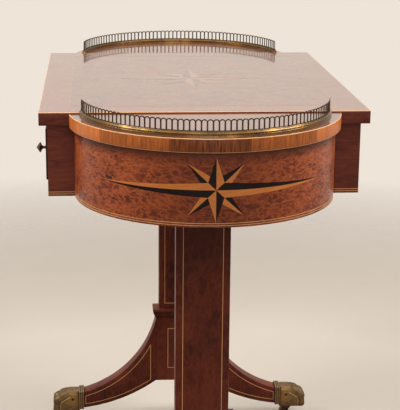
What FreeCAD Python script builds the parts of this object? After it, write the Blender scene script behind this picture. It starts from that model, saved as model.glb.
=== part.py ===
import FreeCAD, Part
import math
import os

# Writing table with galleried D-shaped ends, on two pillar supports with sabre legs and paw castors.
# All sizes are millimetres. X runs along the table, the drawer opens towards -Y and +Z is up.
# The origin is on the floor under the middle of the table. Right is +X and front is -Y.

# Tops
TABLE_HEIGHT = 750.0
CENTRE_LENGTH = 600.0
CENTRE_WIDTH = 500.0
CENTRE_TOP_THICKNESS = 20.0
END_TOP_RADIUS = 206.0
END_CENTRE_INSET = 24.0
END_TOP_THICKNESS = 20.0
END_TOP_STEP = 2.5
TOP_EDGE_ROUND = 1.2

# Friezes and the rails of the centre carcass
FRIEZE_HEIGHT = 111.0
FRIEZE_OVERHANG = 12.0
END_FRIEZE_OVERHANG = 8.0
END_FRIEZE_THICKNESS = 20.0
RAIL_THICKNESS = 18.0
LOWER_RAIL_HEIGHT = 16.0
UPPER_RAIL_HEIGHT = 14.0
DRAWER_RAIL_DEPTH = 40.0
STILE_WIDTH = 18.0
STILE_DEPTH = 24.0
RUNNER_WIDTH = 36.0
GUIDE_HEIGHT = 16.0
BATTEN_WIDTH = 24.0
BATTEN_HEIGHT = 18.0
BATTEN_END_GAP = 8.0
GLUE_BLOCK = 16.0
GLUE_BLOCK_GAP = 0.3

# Drawer
DRAWER_GAP = 0.6
DRAWER_RUN_GAP = 0.3
DRAWER_FRONT_THICKNESS = 18.0
DRAWER_SIDE_THICKNESS = 10.0
DRAWER_BACK_THICKNESS = 12.0
DRAWER_BOTTOM_THICKNESS = 6.0
DRAWER_BOTTOM_LIFT = 8.0
DRAWER_BACK_DROP = 4.0
DRAWER_BACK_CLEARANCE = 24.0
DRAWER_GROOVE = 5.0
GROOVE_GAP = 0.1
DOVETAIL_LAP = 12.0
DOVETAIL_COUNT = 3
DOVETAIL_PIN = 7.0
DOVETAIL_FLARE = 2.5
BEAD_THICKNESS = 3.0
BEAD_DEPTH = 10.0
BEAD_PROUD = 4.0
MITRE_GAP = 0.1
STOP_LENGTH = 19.0
STOP_WIDTH = 24.0
STOP_HEIGHT = 5.0
STOP_INSET = 132.0
STOP_GAP = 0.3

# Knobs
KNOB_INSET = 52.0
KNOB_LENGTH = 20.0
KNOB_RADIUS = 8.0
KNOB_HEAD_LENGTH = 9.0
KNOB_STEM_RADIUS = 2.6
KNOB_NECK_RADIUS = 3.6
KNOB_COLLAR_RADIUS = 4.4
KNOB_PLATE_RADIUS = 7.5
KNOB_PLATE_THICKNESS = 2.0
KNOB_NUT_SIZE = 9.0
KNOB_NUT_THICKNESS = 4.0
KNOB_BOLT_RADIUS = 2.0
FASTENER_GAP = 0.05

# Galleries
GALLERY_INSET = 14.5
GALLERY_RAIL_WIDTH = 7.0
GALLERY_RAIL_HEIGHT = 7.0
GALLERY_PLINTH_HEIGHT = 2.0
GALLERY_BEAD_HEIGHT = 3.2
GALLERY_SHELF_INSET = 0.6
GALLERY_BEAD_INSET = 0.1
GALLERY_NECK_INSET = 1.3
GALLERY_HEIGHT = 24.0
GALLERY_SHEET = 1.2
GALLERY_GROOVE_DEPTH = 2.5
GALLERY_GROOVE_GAP = 0.05
GALLERY_END_GAP = 0.2
ARCH_PITCH = 8.2
ARCH_SLAT = 1.8
ARCH_HEAD_RADIUS = 4.6
ARCH_HEAD_FLAT = 0.1
ARCH_SILL = 1.0
GALLERY_PIN_RADIUS = 1.0
GALLERY_PIN_LENGTH = 12.0
GALLERY_PIN_RISE = 2.0
GALLERY_PIN_COUNT = 5

# Pillar supports
SUPPORT_SETBACK = 8.0
COLUMN_THICKNESS = 28.0
COLUMN_WIDTH = 86.0
CAP_TOP = 242.0
CAP_FILLET = 7.0
CAP_REED = 4.75
CAP_THROAT = 0.5
CAP_OVERHANG_X = 6.0
CAP_OVERHANG_Y = 12.0
REED_INSET = 1.0
REED_STEP = 2.0
TENON_THICKNESS = 12.0
TENON_SHOULDER = 17.0
TENON_TOP_LENGTH = 12.0
TENON_FOOT_LENGTH = 50.0
TENON_GAP = 0.2
ARRIS = 1.0

# Leg blocks and sabre legs
BLOCK_OVERHANG = 6.0
BLOCK_BOTTOM = 89.0
LEG_THICKNESS = 30.0
LEG_SHOULDER_DROP = 2.0
LEG_REACH = 146.5
LEG_FOOT_LIFT = 6.5
LEG_FOOT_HEIGHT = 33.5
LEG_UPPER_HOLLOW = 30.0
LEG_LOWER_HOLLOW = 10.0
LEG_TENON_LENGTH = 15.0
LEG_TENON_THICKNESS = 10.0
LEG_TENON_MARGIN = 22.0
FOOT_TENON_LENGTH = 28.0
FOOT_TENON_WIDTH = 18.0
FOOT_TENON_LOW_MARGIN = 11.5
FOOT_TENON_TOP_MARGIN = 5.0

# Paw feet
PAW_LENGTH = 62.5
PAW_WIDTH = 40.0
PAW_CORNER = 6.0
PAW_SIDE_INSET = 0.5
PAW_COLLAR_LENGTH = 9.5
PAW_COLLAR_LIP = 3.5
PAW_HEEL_INSET = 2.0
PAW_INSTEP_RUN = 17.0
PAW_INSTEP_DROP = 3.5
PAW_SLOPE_RUN = 34.0
PAW_SLOPE_HEIGHT = 34.0
PAW_TIP_HEIGHT = 24.0
PAW_TIP_INSET = 2.0
PAW_TOE_RADIUS = 7.0
PAW_TOE_COUNT = 4
PAW_KNUCKLE_RADIUS = 7.0
PAW_KNUCKLE_SETBACK = 1.5
PAW_KNUCKLE_HEIGHT = 19.0
FOOT_PIN_RADIUS = 2.0
FOOT_PIN_RUN = 22.5
FOOT_PIN_RECESS = 2.0

# Castors
CASTOR_RUN = 29.5
CASTOR_TRAIL = 9.0
WHEEL_RADIUS = 10.0
WHEEL_WIDTH = 10.0
WHEEL_ROUND = 1.5
WHEEL_SIDE_GAP = 0.4
WHEEL_TOP_GAP = 1.7
AXLE_RADIUS = 2.0
AXLE_END = 0.6
FORK_CHEEK = 2.5
FORK_EYE_RADIUS = 5.0
FORK_CROWN = 4.0
FORK_CROWN_RADIUS = 10.0
SWIVEL_GAP = 0.3
SWIVEL_PIN_RADIUS = 4.0
SWIVEL_PIN_LENGTH = 13.5
RUNNING_GAP = 0.05

# Screws
SCREW_RADIUS = 2.0
SCREW_HEAD_RADIUS = 4.0
SCREW_HEAD_HEIGHT = 3.0
SCREW_BITE = 12.0
SCREW_COUNT = 3
BATTEN_SCREW_INSET = 40.0

# Limits of the modelling itself
TOOL_MARGIN = 1.0
CORNER_SHARE = 0.45
NOSE_SHARE = 0.49
TINY = 1e-6

# Levels and planes that follow from the sizes above
CENTRE_TOP_BOTTOM = TABLE_HEIGHT - CENTRE_TOP_THICKNESS
END_TOP_TOP = TABLE_HEIGHT - END_TOP_STEP
END_TOP_BOTTOM = END_TOP_TOP - END_TOP_THICKNESS
FRIEZE_BOTTOM = CENTRE_TOP_BOTTOM - FRIEZE_HEIGHT
CENTRE_END_X = CENTRE_LENGTH / 2
END_CENTRE_X = CENTRE_END_X - END_CENTRE_INSET
CARCASS_X = CENTRE_END_X - FRIEZE_OVERHANG
CARCASS_Y = CENTRE_WIDTH / 2 - FRIEZE_OVERHANG
RAIL_X = CARCASS_X - RAIL_THICKNESS
RAIL_Y = CARCASS_Y - RAIL_THICKNESS
OPENING_X = RAIL_X - STILE_WIDTH
OPENING_BOTTOM = FRIEZE_BOTTOM + LOWER_RAIL_HEIGHT
OPENING_TOP = CENTRE_TOP_BOTTOM - UPPER_RAIL_HEIGHT
DRAWER_RAIL_BACK = -CARCASS_Y + DRAWER_RAIL_DEPTH
RUNNER_X = RAIL_X - RUNNER_WIDTH
END_FRIEZE_RADIUS = END_TOP_RADIUS - END_FRIEZE_OVERHANG
END_FRIEZE_INNER = END_FRIEZE_RADIUS - END_FRIEZE_THICKNESS
GALLERY_RADIUS = END_TOP_RADIUS - GALLERY_INSET - GALLERY_RAIL_WIDTH / 2
GALLERY_END_X = CENTRE_END_X + GALLERY_END_GAP
SUPPORT_X = RAIL_X - SUPPORT_SETBACK
CAP_BOTTOM = CAP_TOP - CAP_FILLET - 2 * CAP_REED - CAP_THROAT
BLOCK_TOP = CAP_BOTTOM
BLOCK_WIDTH = COLUMN_WIDTH + 2 * BLOCK_OVERHANG
TENON_WIDTH = COLUMN_WIDTH - 2 * TENON_SHOULDER
DRAWER_FACE_Y = -CARCASS_Y
DRAWER_X = OPENING_X - DRAWER_GAP
DRAWER_BOTTOM_Z = OPENING_BOTTOM + DRAWER_GAP
DRAWER_TOP_Z = OPENING_TOP - DRAWER_GAP
DRAWER_BACK_Y = RAIL_Y - DRAWER_BACK_CLEARANCE
DRAWER_INNER_X = DRAWER_X - DRAWER_SIDE_THICKNESS
DRAWER_MIDDLE_Z = (DRAWER_BOTTOM_Z + DRAWER_TOP_Z) / 2
SIDE_BOTTOM_Z = OPENING_BOTTOM + DRAWER_RUN_GAP
BOARD_Z = SIDE_BOTTOM_Z + DRAWER_BOTTOM_LIFT
BOARD_TOP_Z = BOARD_Z + DRAWER_BOTTOM_THICKNESS
KNOB_X = OPENING_X - KNOB_INSET
AXLE_Z = WHEEL_RADIUS
CROWN_BOTTOM = 2 * WHEEL_RADIUS + WHEEL_TOP_GAP
CROWN_TOP = CROWN_BOTTOM + FORK_CROWN
PAW_BOTTOM = CROWN_TOP + SWIVEL_GAP
CHEEK_X = WHEEL_WIDTH / 2 + WHEEL_SIDE_GAP
LEG_FOOT_Y = BLOCK_WIDTH / 2 + LEG_REACH
LEG_FOOT_BOTTOM = PAW_BOTTOM + LEG_FOOT_LIFT
LEG_FOOT_TOP = LEG_FOOT_BOTTOM + LEG_FOOT_HEIGHT
FOOT_TENON_BOTTOM = LEG_FOOT_BOTTOM + FOOT_TENON_LOW_MARGIN
FOOT_TENON_TOP = LEG_FOOT_TOP - FOOT_TENON_TOP_MARGIN
FOOT_PIN_Y = LEG_FOOT_Y + FOOT_PIN_RUN
CASTOR_Y = LEG_FOOT_Y + CASTOR_RUN
AXLE_Y = CASTOR_Y - CASTOR_TRAIL

SIDES = (("right", 1), ("left", -1))
DEPTHS = (("front", -1), ("back", 1))
UP = FreeCAD.Vector(0, 0, 1)
ALONG_X = FreeCAD.Vector(1, 0, 0)
ALONG_Y = FreeCAD.Vector(0, 1, 0)
REACH = 2 * CENTRE_LENGTH


def vec(x, y, z):
    return FreeCAD.Vector(x, y, z)


def box(x_pair, y_pair, z_pair):
    """Box between two values on each axis, in either order."""
    x, y, z = min(x_pair), min(y_pair), min(z_pair)
    return Part.makeBox(max(x_pair) - x, max(y_pair) - y, max(z_pair) - z, vec(x, y, z))


def rod(radius, length, start, direction):
    return Part.makeCylinder(radius, length, start, direction)


def faced(edges):
    return Part.Face(Part.Wire(edges))


def polygon(points):
    return Part.Face(Part.makePolygon(points + points[:1]))


def line(start, end):
    return Part.LineSegment(start, end).toShape()


def arc(start, middle, end):
    return Part.Arc(start, middle, end).toShape()


def round_edges(solid, radius, chosen):
    return solid.makeFillet(radius, [edge for edge in solid.Edges if chosen(edge)])


def level_edge(edge):
    """Whether an edge lies in one horizontal plane."""
    return edge.BoundBox.ZLength < TINY


def upright_edge(edge):
    bounds = edge.BoundBox
    return bounds.XLength < TINY and bounds.YLength < TINY


def round_edge(edge):
    return edge.Curve.TypeId == "Part::GeomCircle"


def about_end(shape, angle):
    """Copy of a shape turned about the upright axis of the right D end, in degrees."""
    turned = shape.copy()
    turned.rotate(vec(END_CENTRE_X, 0, 0), UP, angle)
    return turned


def at_end(shape, side):
    """Copy of a right-end shape, turned half round for the left end."""
    placed = shape.copy()
    if side < 0:
        placed.rotate(vec(0, 0, 0), UP, 180)
    return placed


def at_corner(shape, side, depth):
    """Copy of a shape of the right back leg, placed on any of the four legs."""
    placed = shape.copy()
    if depth < 0:
        placed.rotate(vec(SUPPORT_X, 0, 0), UP, 180)
    if side < 0:
        placed.translate(vec(-2 * SUPPORT_X, 0, 0))
    return placed


def end_ring(inner, outer, bottom, top, from_x):
    """Sector of a ring about the right D end's axis, cut off square at from_x."""
    centre = vec(END_CENTRE_X, 0, bottom)
    ring = rod(outer, top - bottom, centre, UP)
    if inner > 0:
        ring = ring.cut(rod(inner, top - bottom, centre, UP))
    return ring.common(box((from_x, REACH), (-REACH, REACH), (bottom, top)))


def hollow_half_width(reach):
    """Half the width inside a D frieze, at a distance along X from the end rail's face."""
    return math.sqrt(END_FRIEZE_INNER ** 2 - (CARCASS_X + reach - END_CENTRE_X) ** 2)


def batten_half_length():
    room = hollow_half_width(max(BATTEN_WIDTH, GLUE_BLOCK))
    return room - GLUE_BLOCK_GAP - GLUE_BLOCK - BATTEN_END_GAP


def screw_places():
    """Places of the screws that hold the centre top, along both kickers."""
    spacing = (RAIL_Y - DRAWER_RAIL_BACK) / (SCREW_COUNT + 1)
    x = (OPENING_X + RAIL_X) / 2
    places = []
    for _, side in SIDES:
        for index in range(SCREW_COUNT):
            places.append((side * x, DRAWER_RAIL_BACK + (index + 1) * spacing))
    return places


def batten_screw_places():
    """Places of the screws that hold the D tops, in the part of each batten that lies under them."""
    x = (CENTRE_END_X + CARCASS_X + BATTEN_WIDTH) / 2
    y = batten_half_length() - BATTEN_SCREW_INSET
    return [(side * x, depth * y) for _, side in SIDES for _, depth in DEPTHS]


def screw(place, head_z, joint_z, gap=0.0):
    """Upright screw with its head at head_z, biting past joint_z. A gap makes its hole."""
    x, y = place
    head = rod(SCREW_HEAD_RADIUS + gap, SCREW_HEAD_HEIGHT, vec(x, y, head_z), UP)
    shank = rod(SCREW_RADIUS + gap, joint_z + SCREW_BITE + gap - head_z, vec(x, y, head_z), UP)
    return head.fuse(shank).removeSplitter()


def top_screw(place, gap=0.0):
    return screw(place, OPENING_TOP, CENTRE_TOP_BOTTOM, gap)


def batten_screw(place, gap=0.0):
    return screw(place, END_TOP_BOTTOM - BATTEN_HEIGHT, END_TOP_BOTTOM, gap)


def cut_all(solid, tools):
    return solid.cut(tools) if tools else solid


def centre_top():
    x, y = CENTRE_END_X, CENTRE_WIDTH / 2
    slab = box((-x, x), (-y, y), (CENTRE_TOP_BOTTOM, TABLE_HEIGHT))
    slab = round_edges(slab, TOP_EDGE_ROUND, level_edge)
    return cut_all(slab, [top_screw(place, FASTENER_GAP) for place in screw_places()])


def gallery_pin(index, gap=0.0):
    """One of the pins that hold a gallery rail down, spread evenly round the right D end."""
    span = math.degrees(math.acos((GALLERY_END_X - END_CENTRE_X) / GALLERY_RADIUS))
    angle = span * (2 * (index + 0.5) / GALLERY_PIN_COUNT - 1)
    bottom = END_TOP_TOP + GALLERY_PIN_RISE - GALLERY_PIN_LENGTH - gap
    length = GALLERY_PIN_LENGTH + 2 * gap
    pin = rod(GALLERY_PIN_RADIUS + gap, length, vec(END_CENTRE_X + GALLERY_RADIUS, 0, bottom), UP)
    return about_end(pin, angle)


def end_top():
    slab = end_ring(0, END_TOP_RADIUS, END_TOP_BOTTOM, END_TOP_TOP, CENTRE_END_X)
    slab = round_edges(slab, TOP_EDGE_ROUND, round_edge)
    holes = [gallery_pin(index, FASTENER_GAP) for index in range(GALLERY_PIN_COUNT)]
    holes += [batten_screw(place, FASTENER_GAP) for place in batten_screw_places() if place[0] > 0]
    return cut_all(slab, holes)


def gallery_rail():
    """Moulded brass rail: plinth, round bead and neck, with a groove for the pierced sheet."""
    half = GALLERY_RAIL_WIDTH / 2
    plinth = GALLERY_PLINTH_HEIGHT
    bead_top = plinth + GALLERY_BEAD_HEIGHT
    shelf = half - GALLERY_SHELF_INSET
    swell = half - GALLERY_BEAD_INSET
    neck = half - GALLERY_NECK_INSET

    def at(offset, height):
        return vec(END_CENTRE_X + GALLERY_RADIUS + offset, 0, END_TOP_TOP + height)

    middle = (plinth + bead_top) / 2
    edges = [
        line(at(-half, 0), at(half, 0)),
        line(at(half, 0), at(half, plinth)),
        line(at(half, plinth), at(shelf, plinth)),
        arc(at(shelf, plinth), at(swell, middle), at(neck, bead_top)),
        line(at(neck, bead_top), at(neck, GALLERY_RAIL_HEIGHT)),
        line(at(neck, GALLERY_RAIL_HEIGHT), at(-neck, GALLERY_RAIL_HEIGHT)),
        line(at(-neck, GALLERY_RAIL_HEIGHT), at(-neck, bead_top)),
        arc(at(-neck, bead_top), at(-swell, middle), at(-shelf, plinth)),
        line(at(-shelf, plinth), at(-half, plinth)),
        line(at(-half, plinth), at(-half, 0)),
    ]
    section = faced(edges)
    section.rotate(vec(END_CENTRE_X, 0, 0), UP, -90)
    rail = section.revolve(vec(END_CENTRE_X, 0, 0), UP, 180)
    rail = rail.common(box((GALLERY_END_X, REACH), (-REACH, REACH), (0, REACH)))
    half_groove = GALLERY_SHEET / 2 + GALLERY_GROOVE_GAP
    rail_top = END_TOP_TOP + GALLERY_RAIL_HEIGHT
    groove = end_ring(GALLERY_RADIUS - half_groove, GALLERY_RADIUS + half_groove,
                      rail_top - GALLERY_GROOVE_DEPTH, rail_top + TOOL_MARGIN, END_CENTRE_X)
    pins = [gallery_pin(index, FASTENER_GAP) for index in range(GALLERY_PIN_COUNT)]
    return rail.cut([groove] + pins)


def gallery_arcade():
    """Pierced sheet: a row of round-headed arches with a scalloped top edge."""
    half_sheet = GALLERY_SHEET / 2
    bottom = END_TOP_TOP + GALLERY_RAIL_HEIGHT - GALLERY_GROOVE_DEPTH
    top = END_TOP_TOP + GALLERY_HEIGHT
    sheet = end_ring(GALLERY_RADIUS - half_sheet, GALLERY_RADIUS + half_sheet, bottom, top, GALLERY_END_X)
    span = 2 * GALLERY_RADIUS * math.acos((GALLERY_END_X - END_CENTRE_X) / GALLERY_RADIUS)
    count = int((span - ARCH_SLAT) / ARCH_PITCH)
    step = math.degrees(ARCH_PITCH / GALLERY_RADIUS)
    spring = top - ARCH_HEAD_RADIUS + ARCH_HEAD_FLAT
    sill = END_TOP_TOP + GALLERY_RAIL_HEIGHT + ARCH_SILL
    x = END_CENTRE_X + GALLERY_RADIUS - 2 * GALLERY_SHEET
    through = vec(4 * GALLERY_SHEET, 0, 0)

    half = (ARCH_PITCH - ARCH_SLAT) / 2
    opening = faced([
        line(vec(x, -half, sill), vec(x, half, sill)),
        line(vec(x, half, sill), vec(x, half, spring)),
        arc(vec(x, half, spring), vec(x, 0, spring + half), vec(x, -half, spring)),
        line(vec(x, -half, spring), vec(x, -half, sill)),
    ]).extrude(through)

    pitch = ARCH_PITCH / 2
    rise = ARCH_HEAD_RADIUS - ARCH_HEAD_FLAT
    flat = math.sqrt(ARCH_HEAD_RADIUS ** 2 - rise ** 2)
    cusp = math.sqrt(ARCH_HEAD_RADIUS ** 2 - pitch ** 2)
    turn = (math.atan2(rise, flat) + math.atan2(cusp, pitch)) / 2
    bend_y = pitch - ARCH_HEAD_RADIUS * math.cos(turn)
    bend_z = spring + ARCH_HEAD_RADIUS * math.sin(turn)
    edge_y = pitch - flat
    above = top + TOOL_MARGIN
    notch = faced([
        arc(vec(x, -edge_y, spring + rise), vec(x, -bend_y, bend_z), vec(x, 0, spring + cusp)),
        arc(vec(x, 0, spring + cusp), vec(x, bend_y, bend_z), vec(x, edge_y, spring + rise)),
        line(vec(x, edge_y, spring + rise), vec(x, edge_y, above)),
        line(vec(x, edge_y, above), vec(x, -edge_y, above)),
        line(vec(x, -edge_y, above), vec(x, -edge_y, spring + rise)),
    ]).extrude(through)

    middle = (count - 1) / 2
    tools = [about_end(opening, (index - middle) * step) for index in range(count)]
    tools += [about_end(notch, (index + 0.5 - middle) * step) for index in range(count - 1)]
    return sheet.cut(tools)


def end_frieze():
    return end_ring(END_FRIEZE_INNER, END_FRIEZE_RADIUS, FRIEZE_BOTTOM, END_TOP_BOTTOM, CARCASS_X)


def end_rail(side):
    return box((side * RAIL_X, side * CARCASS_X), (-CARCASS_Y, CARCASS_Y), (FRIEZE_BOTTOM, CENTRE_TOP_BOTTOM))


def back_rail():
    return box((-RAIL_X, RAIL_X), (RAIL_Y, CARCASS_Y), (FRIEZE_BOTTOM, CENTRE_TOP_BOTTOM))


def drawer_rail(bottom, top):
    return box((-RAIL_X, RAIL_X), (-CARCASS_Y, DRAWER_RAIL_BACK), (bottom, top))


def stile(side):
    y = (-CARCASS_Y, -CARCASS_Y + STILE_DEPTH)
    return box((side * OPENING_X, side * RAIL_X), y, (OPENING_BOTTOM, OPENING_TOP))


def column_tenon(side, bottom, top, gap=0.0):
    x, y = TENON_THICKNESS / 2 + gap, TENON_WIDTH / 2 + gap
    middle = side * SUPPORT_X
    return box((middle - x, middle + x), (-y, y), (bottom, top))


def runner(side):
    """Bearer that carries the drawer on top and is mortised for the column below."""
    x = (side * RUNNER_X, side * RAIL_X)
    bearer = box(x, (DRAWER_RAIL_BACK, RAIL_Y), (FRIEZE_BOTTOM, OPENING_BOTTOM))
    top = FRIEZE_BOTTOM + TENON_TOP_LENGTH + TENON_GAP
    return bearer.cut(column_tenon(side, FRIEZE_BOTTOM, top, TENON_GAP))


def guide(side):
    y = (-CARCASS_Y + STILE_DEPTH, RAIL_Y)
    return box((side * OPENING_X, side * RAIL_X), y, (OPENING_BOTTOM, OPENING_BOTTOM + GUIDE_HEIGHT))


def kicker(side):
    x = (side * RUNNER_X, side * RAIL_X)
    strip = box(x, (DRAWER_RAIL_BACK, RAIL_Y), (OPENING_TOP, CENTRE_TOP_BOTTOM))
    places = [place for place in screw_places() if place[0] * side > 0]
    return cut_all(strip, [top_screw(place, FASTENER_GAP) for place in places])


def drawer_stop(side):
    middle = side * (OPENING_X - STOP_INSET)
    front = DRAWER_FACE_Y + DRAWER_FRONT_THICKNESS + STOP_GAP
    x = (middle - STOP_WIDTH / 2, middle + STOP_WIDTH / 2)
    return box(x, (front, front + STOP_LENGTH), (OPENING_BOTTOM, OPENING_BOTTOM + STOP_HEIGHT))


def batten(side):
    x = (side * CARCASS_X, side * (CARCASS_X + BATTEN_WIDTH))
    y = batten_half_length()
    strip = box(x, (-y, y), (END_TOP_BOTTOM - BATTEN_HEIGHT, END_TOP_BOTTOM))
    places = [place for place in batten_screw_places() if place[0] * side > 0]
    return cut_all(strip, [batten_screw(place, FASTENER_GAP) for place in places])


def glue_block(side, depth):
    """Upright block in the corner between an end rail and its D frieze."""
    outer = hollow_half_width(GLUE_BLOCK) - GLUE_BLOCK_GAP
    x = (side * CARCASS_X, side * (CARCASS_X + GLUE_BLOCK))
    y = (depth * (outer - GLUE_BLOCK), depth * outer)
    return box(x, y, (FRIEZE_BOTTOM + GLUE_BLOCK, END_TOP_BOTTOM))


def drawer_side(side):
    """Side with half-lapped dovetails at the front and a groove for the bottom board."""
    front = DRAWER_FACE_Y + DRAWER_FRONT_THICKNESS - DOVETAIL_LAP
    top = DRAWER_TOP_Z
    panel = box((side * DRAWER_INNER_X, side * DRAWER_X), (front, DRAWER_BACK_Y), (SIDE_BOTTOM_Z, top))
    groove_floor = DRAWER_INNER_X + DRAWER_GROOVE + GROOVE_GAP
    groove = box((side * (DRAWER_INNER_X - TOOL_MARGIN), side * groove_floor),
                 (front - TOOL_MARGIN, DRAWER_BACK_Y + TOOL_MARGIN),
                 (BOARD_Z - GROOVE_GAP, BOARD_TOP_Z + GROOVE_GAP))
    back = DRAWER_FACE_Y + DRAWER_FRONT_THICKNESS
    low = DRAWER_BOTTOM_Z + DRAWER_GROOVE + DRAWER_BOTTOM_LIFT
    pitch = (top - low) / DOVETAIL_COUNT
    pins = []
    for index in range(DOVETAIL_COUNT + 1):
        z = low + index * pitch
        narrow, wide = DOVETAIL_PIN / 2 - DOVETAIL_FLARE, DOVETAIL_PIN / 2
        pin = polygon([vec(0, front, z - narrow), vec(0, front, z + narrow),
                       vec(0, back, z + wide), vec(0, back, z - wide)])
        pin = pin.extrude(vec(DRAWER_SIDE_THICKNESS + 2 * TOOL_MARGIN, 0, 0))
        pin.translate(vec(min(side * DRAWER_INNER_X, side * DRAWER_X) - TOOL_MARGIN, 0, 0))
        pins.append(pin)
    return panel.cut([groove] + pins)


def drawer_back():
    y = (DRAWER_BACK_Y - DRAWER_BACK_THICKNESS, DRAWER_BACK_Y)
    return box((-DRAWER_INNER_X, DRAWER_INNER_X), y, (BOARD_TOP_Z, DRAWER_TOP_Z - DRAWER_BACK_DROP))


def drawer_bottom(gap=0.0):
    x = DRAWER_INNER_X + DRAWER_GROOVE + gap
    y = (DRAWER_FACE_Y + DRAWER_FRONT_THICKNESS - DRAWER_GROOVE - gap, DRAWER_BACK_Y + gap)
    return box((-x, x), y, (BOARD_Z - gap, BOARD_TOP_Z + gap))


def bead_rebate():
    """The band round the drawer front's edges that the cock beads fill."""
    y = (DRAWER_FACE_Y - BEAD_PROUD, DRAWER_FACE_Y - BEAD_PROUD + BEAD_DEPTH)
    outer = box((-DRAWER_X, DRAWER_X), y, (DRAWER_BOTTOM_Z, DRAWER_TOP_Z))
    x = DRAWER_X - BEAD_THICKNESS
    inner = box((-x, x), y, (DRAWER_BOTTOM_Z + BEAD_THICKNESS, DRAWER_TOP_Z - BEAD_THICKNESS))
    return outer.cut(inner)


def drawer_beads():
    """Four strips mitred at the corners with a glue gap, with a rounded nose."""
    front = DRAWER_FACE_Y - BEAD_PROUD
    back = front + BEAD_DEPTH
    nose = BEAD_THICKNESS / 2
    height = DRAWER_TOP_Z - DRAWER_BOTTOM_Z

    def strip(length):
        section = faced([
            line(vec(0, back, 0), vec(0, back, BEAD_THICKNESS)),
            line(vec(0, back, BEAD_THICKNESS), vec(0, front + nose, BEAD_THICKNESS)),
            arc(vec(0, front + nose, BEAD_THICKNESS), vec(0, front, nose), vec(0, front + nose, 0)),
            line(vec(0, front + nose, 0), vec(0, back, 0)),
        ])
        bar = section.extrude(vec(length, 0, 0))
        start = front - TOOL_MARGIN
        joint = MITRE_GAP / 2
        mitre = polygon([
            vec(joint, start, 0),
            vec(-TOOL_MARGIN, start, 0),
            vec(-TOOL_MARGIN, start, BEAD_THICKNESS),
            vec(BEAD_THICKNESS + joint, start, BEAD_THICKNESS),
        ])
        mitre = mitre.extrude(vec(0, BEAD_DEPTH + 2 * TOOL_MARGIN, 0))
        other = mitre.mirror(vec(length / 2, 0, 0), ALONG_X)
        return bar.cut([mitre, other])

    low = strip(2 * DRAWER_X)
    low.translate(vec(-DRAWER_X, 0, DRAWER_BOTTOM_Z))
    high = low.copy()
    high.rotate(vec(0, 0, DRAWER_MIDDLE_Z), ALONG_Y, 180)
    right = strip(height)
    right.rotate(vec(0, 0, 0), ALONG_Y, -90)
    right.translate(vec(DRAWER_X, 0, DRAWER_BOTTOM_Z))
    left = right.copy()
    left.rotate(vec(0, 0, DRAWER_MIDDLE_Z), ALONG_Y, 180)
    return Part.makeCompound([low, high, right, left])


def drawer_front(sides):
    board = box((-DRAWER_X, DRAWER_X), (DRAWER_FACE_Y, DRAWER_FACE_Y + DRAWER_FRONT_THICKNESS),
                (DRAWER_BOTTOM_Z, DRAWER_TOP_Z))
    holes = [rod(KNOB_BOLT_RADIUS + FASTENER_GAP, DRAWER_FRONT_THICKNESS,
                 vec(side * KNOB_X, DRAWER_FACE_Y, DRAWER_MIDDLE_Z), ALONG_Y) for _, side in SIDES]
    return board.cut(sides + [drawer_bottom(GROOVE_GAP), bead_rebate()] + holes)


def knob(side):
    """Turned knob: mushroom head on a waisted stem, with a bolt through the drawer front."""
    base = DRAWER_FACE_Y - KNOB_PLATE_THICKNESS
    tip = DRAWER_FACE_Y - KNOB_LENGTH
    neck = tip + KNOB_HEAD_LENGTH
    widest = tip + KNOB_HEAD_LENGTH / 2
    end = DRAWER_FACE_Y + DRAWER_FRONT_THICKNESS + KNOB_NUT_THICKNESS
    waist = (neck + base) / 2

    def at(radius, y):
        return vec(radius, y, 0)

    dome_height = widest - tip
    dome_radius = (KNOB_RADIUS ** 2 + dome_height ** 2) / (2 * dome_height)
    half_turn = math.asin(KNOB_RADIUS / dome_radius) / 2
    crest = at(dome_radius * math.sin(half_turn), tip + dome_radius * (1 - math.cos(half_turn)))
    profile = faced([
        line(at(0, tip), at(0, end)),
        line(at(0, end), at(KNOB_BOLT_RADIUS, end)),
        line(at(KNOB_BOLT_RADIUS, end), at(KNOB_BOLT_RADIUS, base)),
        line(at(KNOB_BOLT_RADIUS, base), at(KNOB_COLLAR_RADIUS, base)),
        arc(at(KNOB_COLLAR_RADIUS, base), at(KNOB_STEM_RADIUS, waist), at(KNOB_NECK_RADIUS, neck)),
        line(at(KNOB_NECK_RADIUS, neck), at(KNOB_RADIUS, widest)),
        arc(at(KNOB_RADIUS, widest), crest, at(0, tip)),
    ])
    turned = profile.revolve(vec(0, 0, 0), ALONG_Y, 360)
    turned.translate(vec(side * KNOB_X, 0, DRAWER_MIDDLE_Z))
    return turned


def knob_plate(side):
    centre = vec(side * KNOB_X, DRAWER_FACE_Y, DRAWER_MIDDLE_Z)
    outward = -ALONG_Y
    disc = rod(KNOB_PLATE_RADIUS, KNOB_PLATE_THICKNESS, centre, outward)
    front = DRAWER_FACE_Y - KNOB_PLATE_THICKNESS
    disc = round_edges(disc, KNOB_PLATE_THICKNESS / 2, lambda e: abs(e.BoundBox.YMax - front) < TINY)
    return disc.cut(rod(KNOB_BOLT_RADIUS + FASTENER_GAP, KNOB_PLATE_THICKNESS, centre, outward))


def knob_nut(side):
    half = KNOB_NUT_SIZE / 2
    x, y, z = side * KNOB_X, DRAWER_FACE_Y + DRAWER_FRONT_THICKNESS, DRAWER_MIDDLE_Z
    nut = box((x - half, x + half), (y, y + KNOB_NUT_THICKNESS), (z - half, z + half))
    hole = rod(KNOB_BOLT_RADIUS + FASTENER_GAP, KNOB_NUT_THICKNESS, vec(x, y, z), ALONG_Y)
    return nut.cut(hole)


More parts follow.
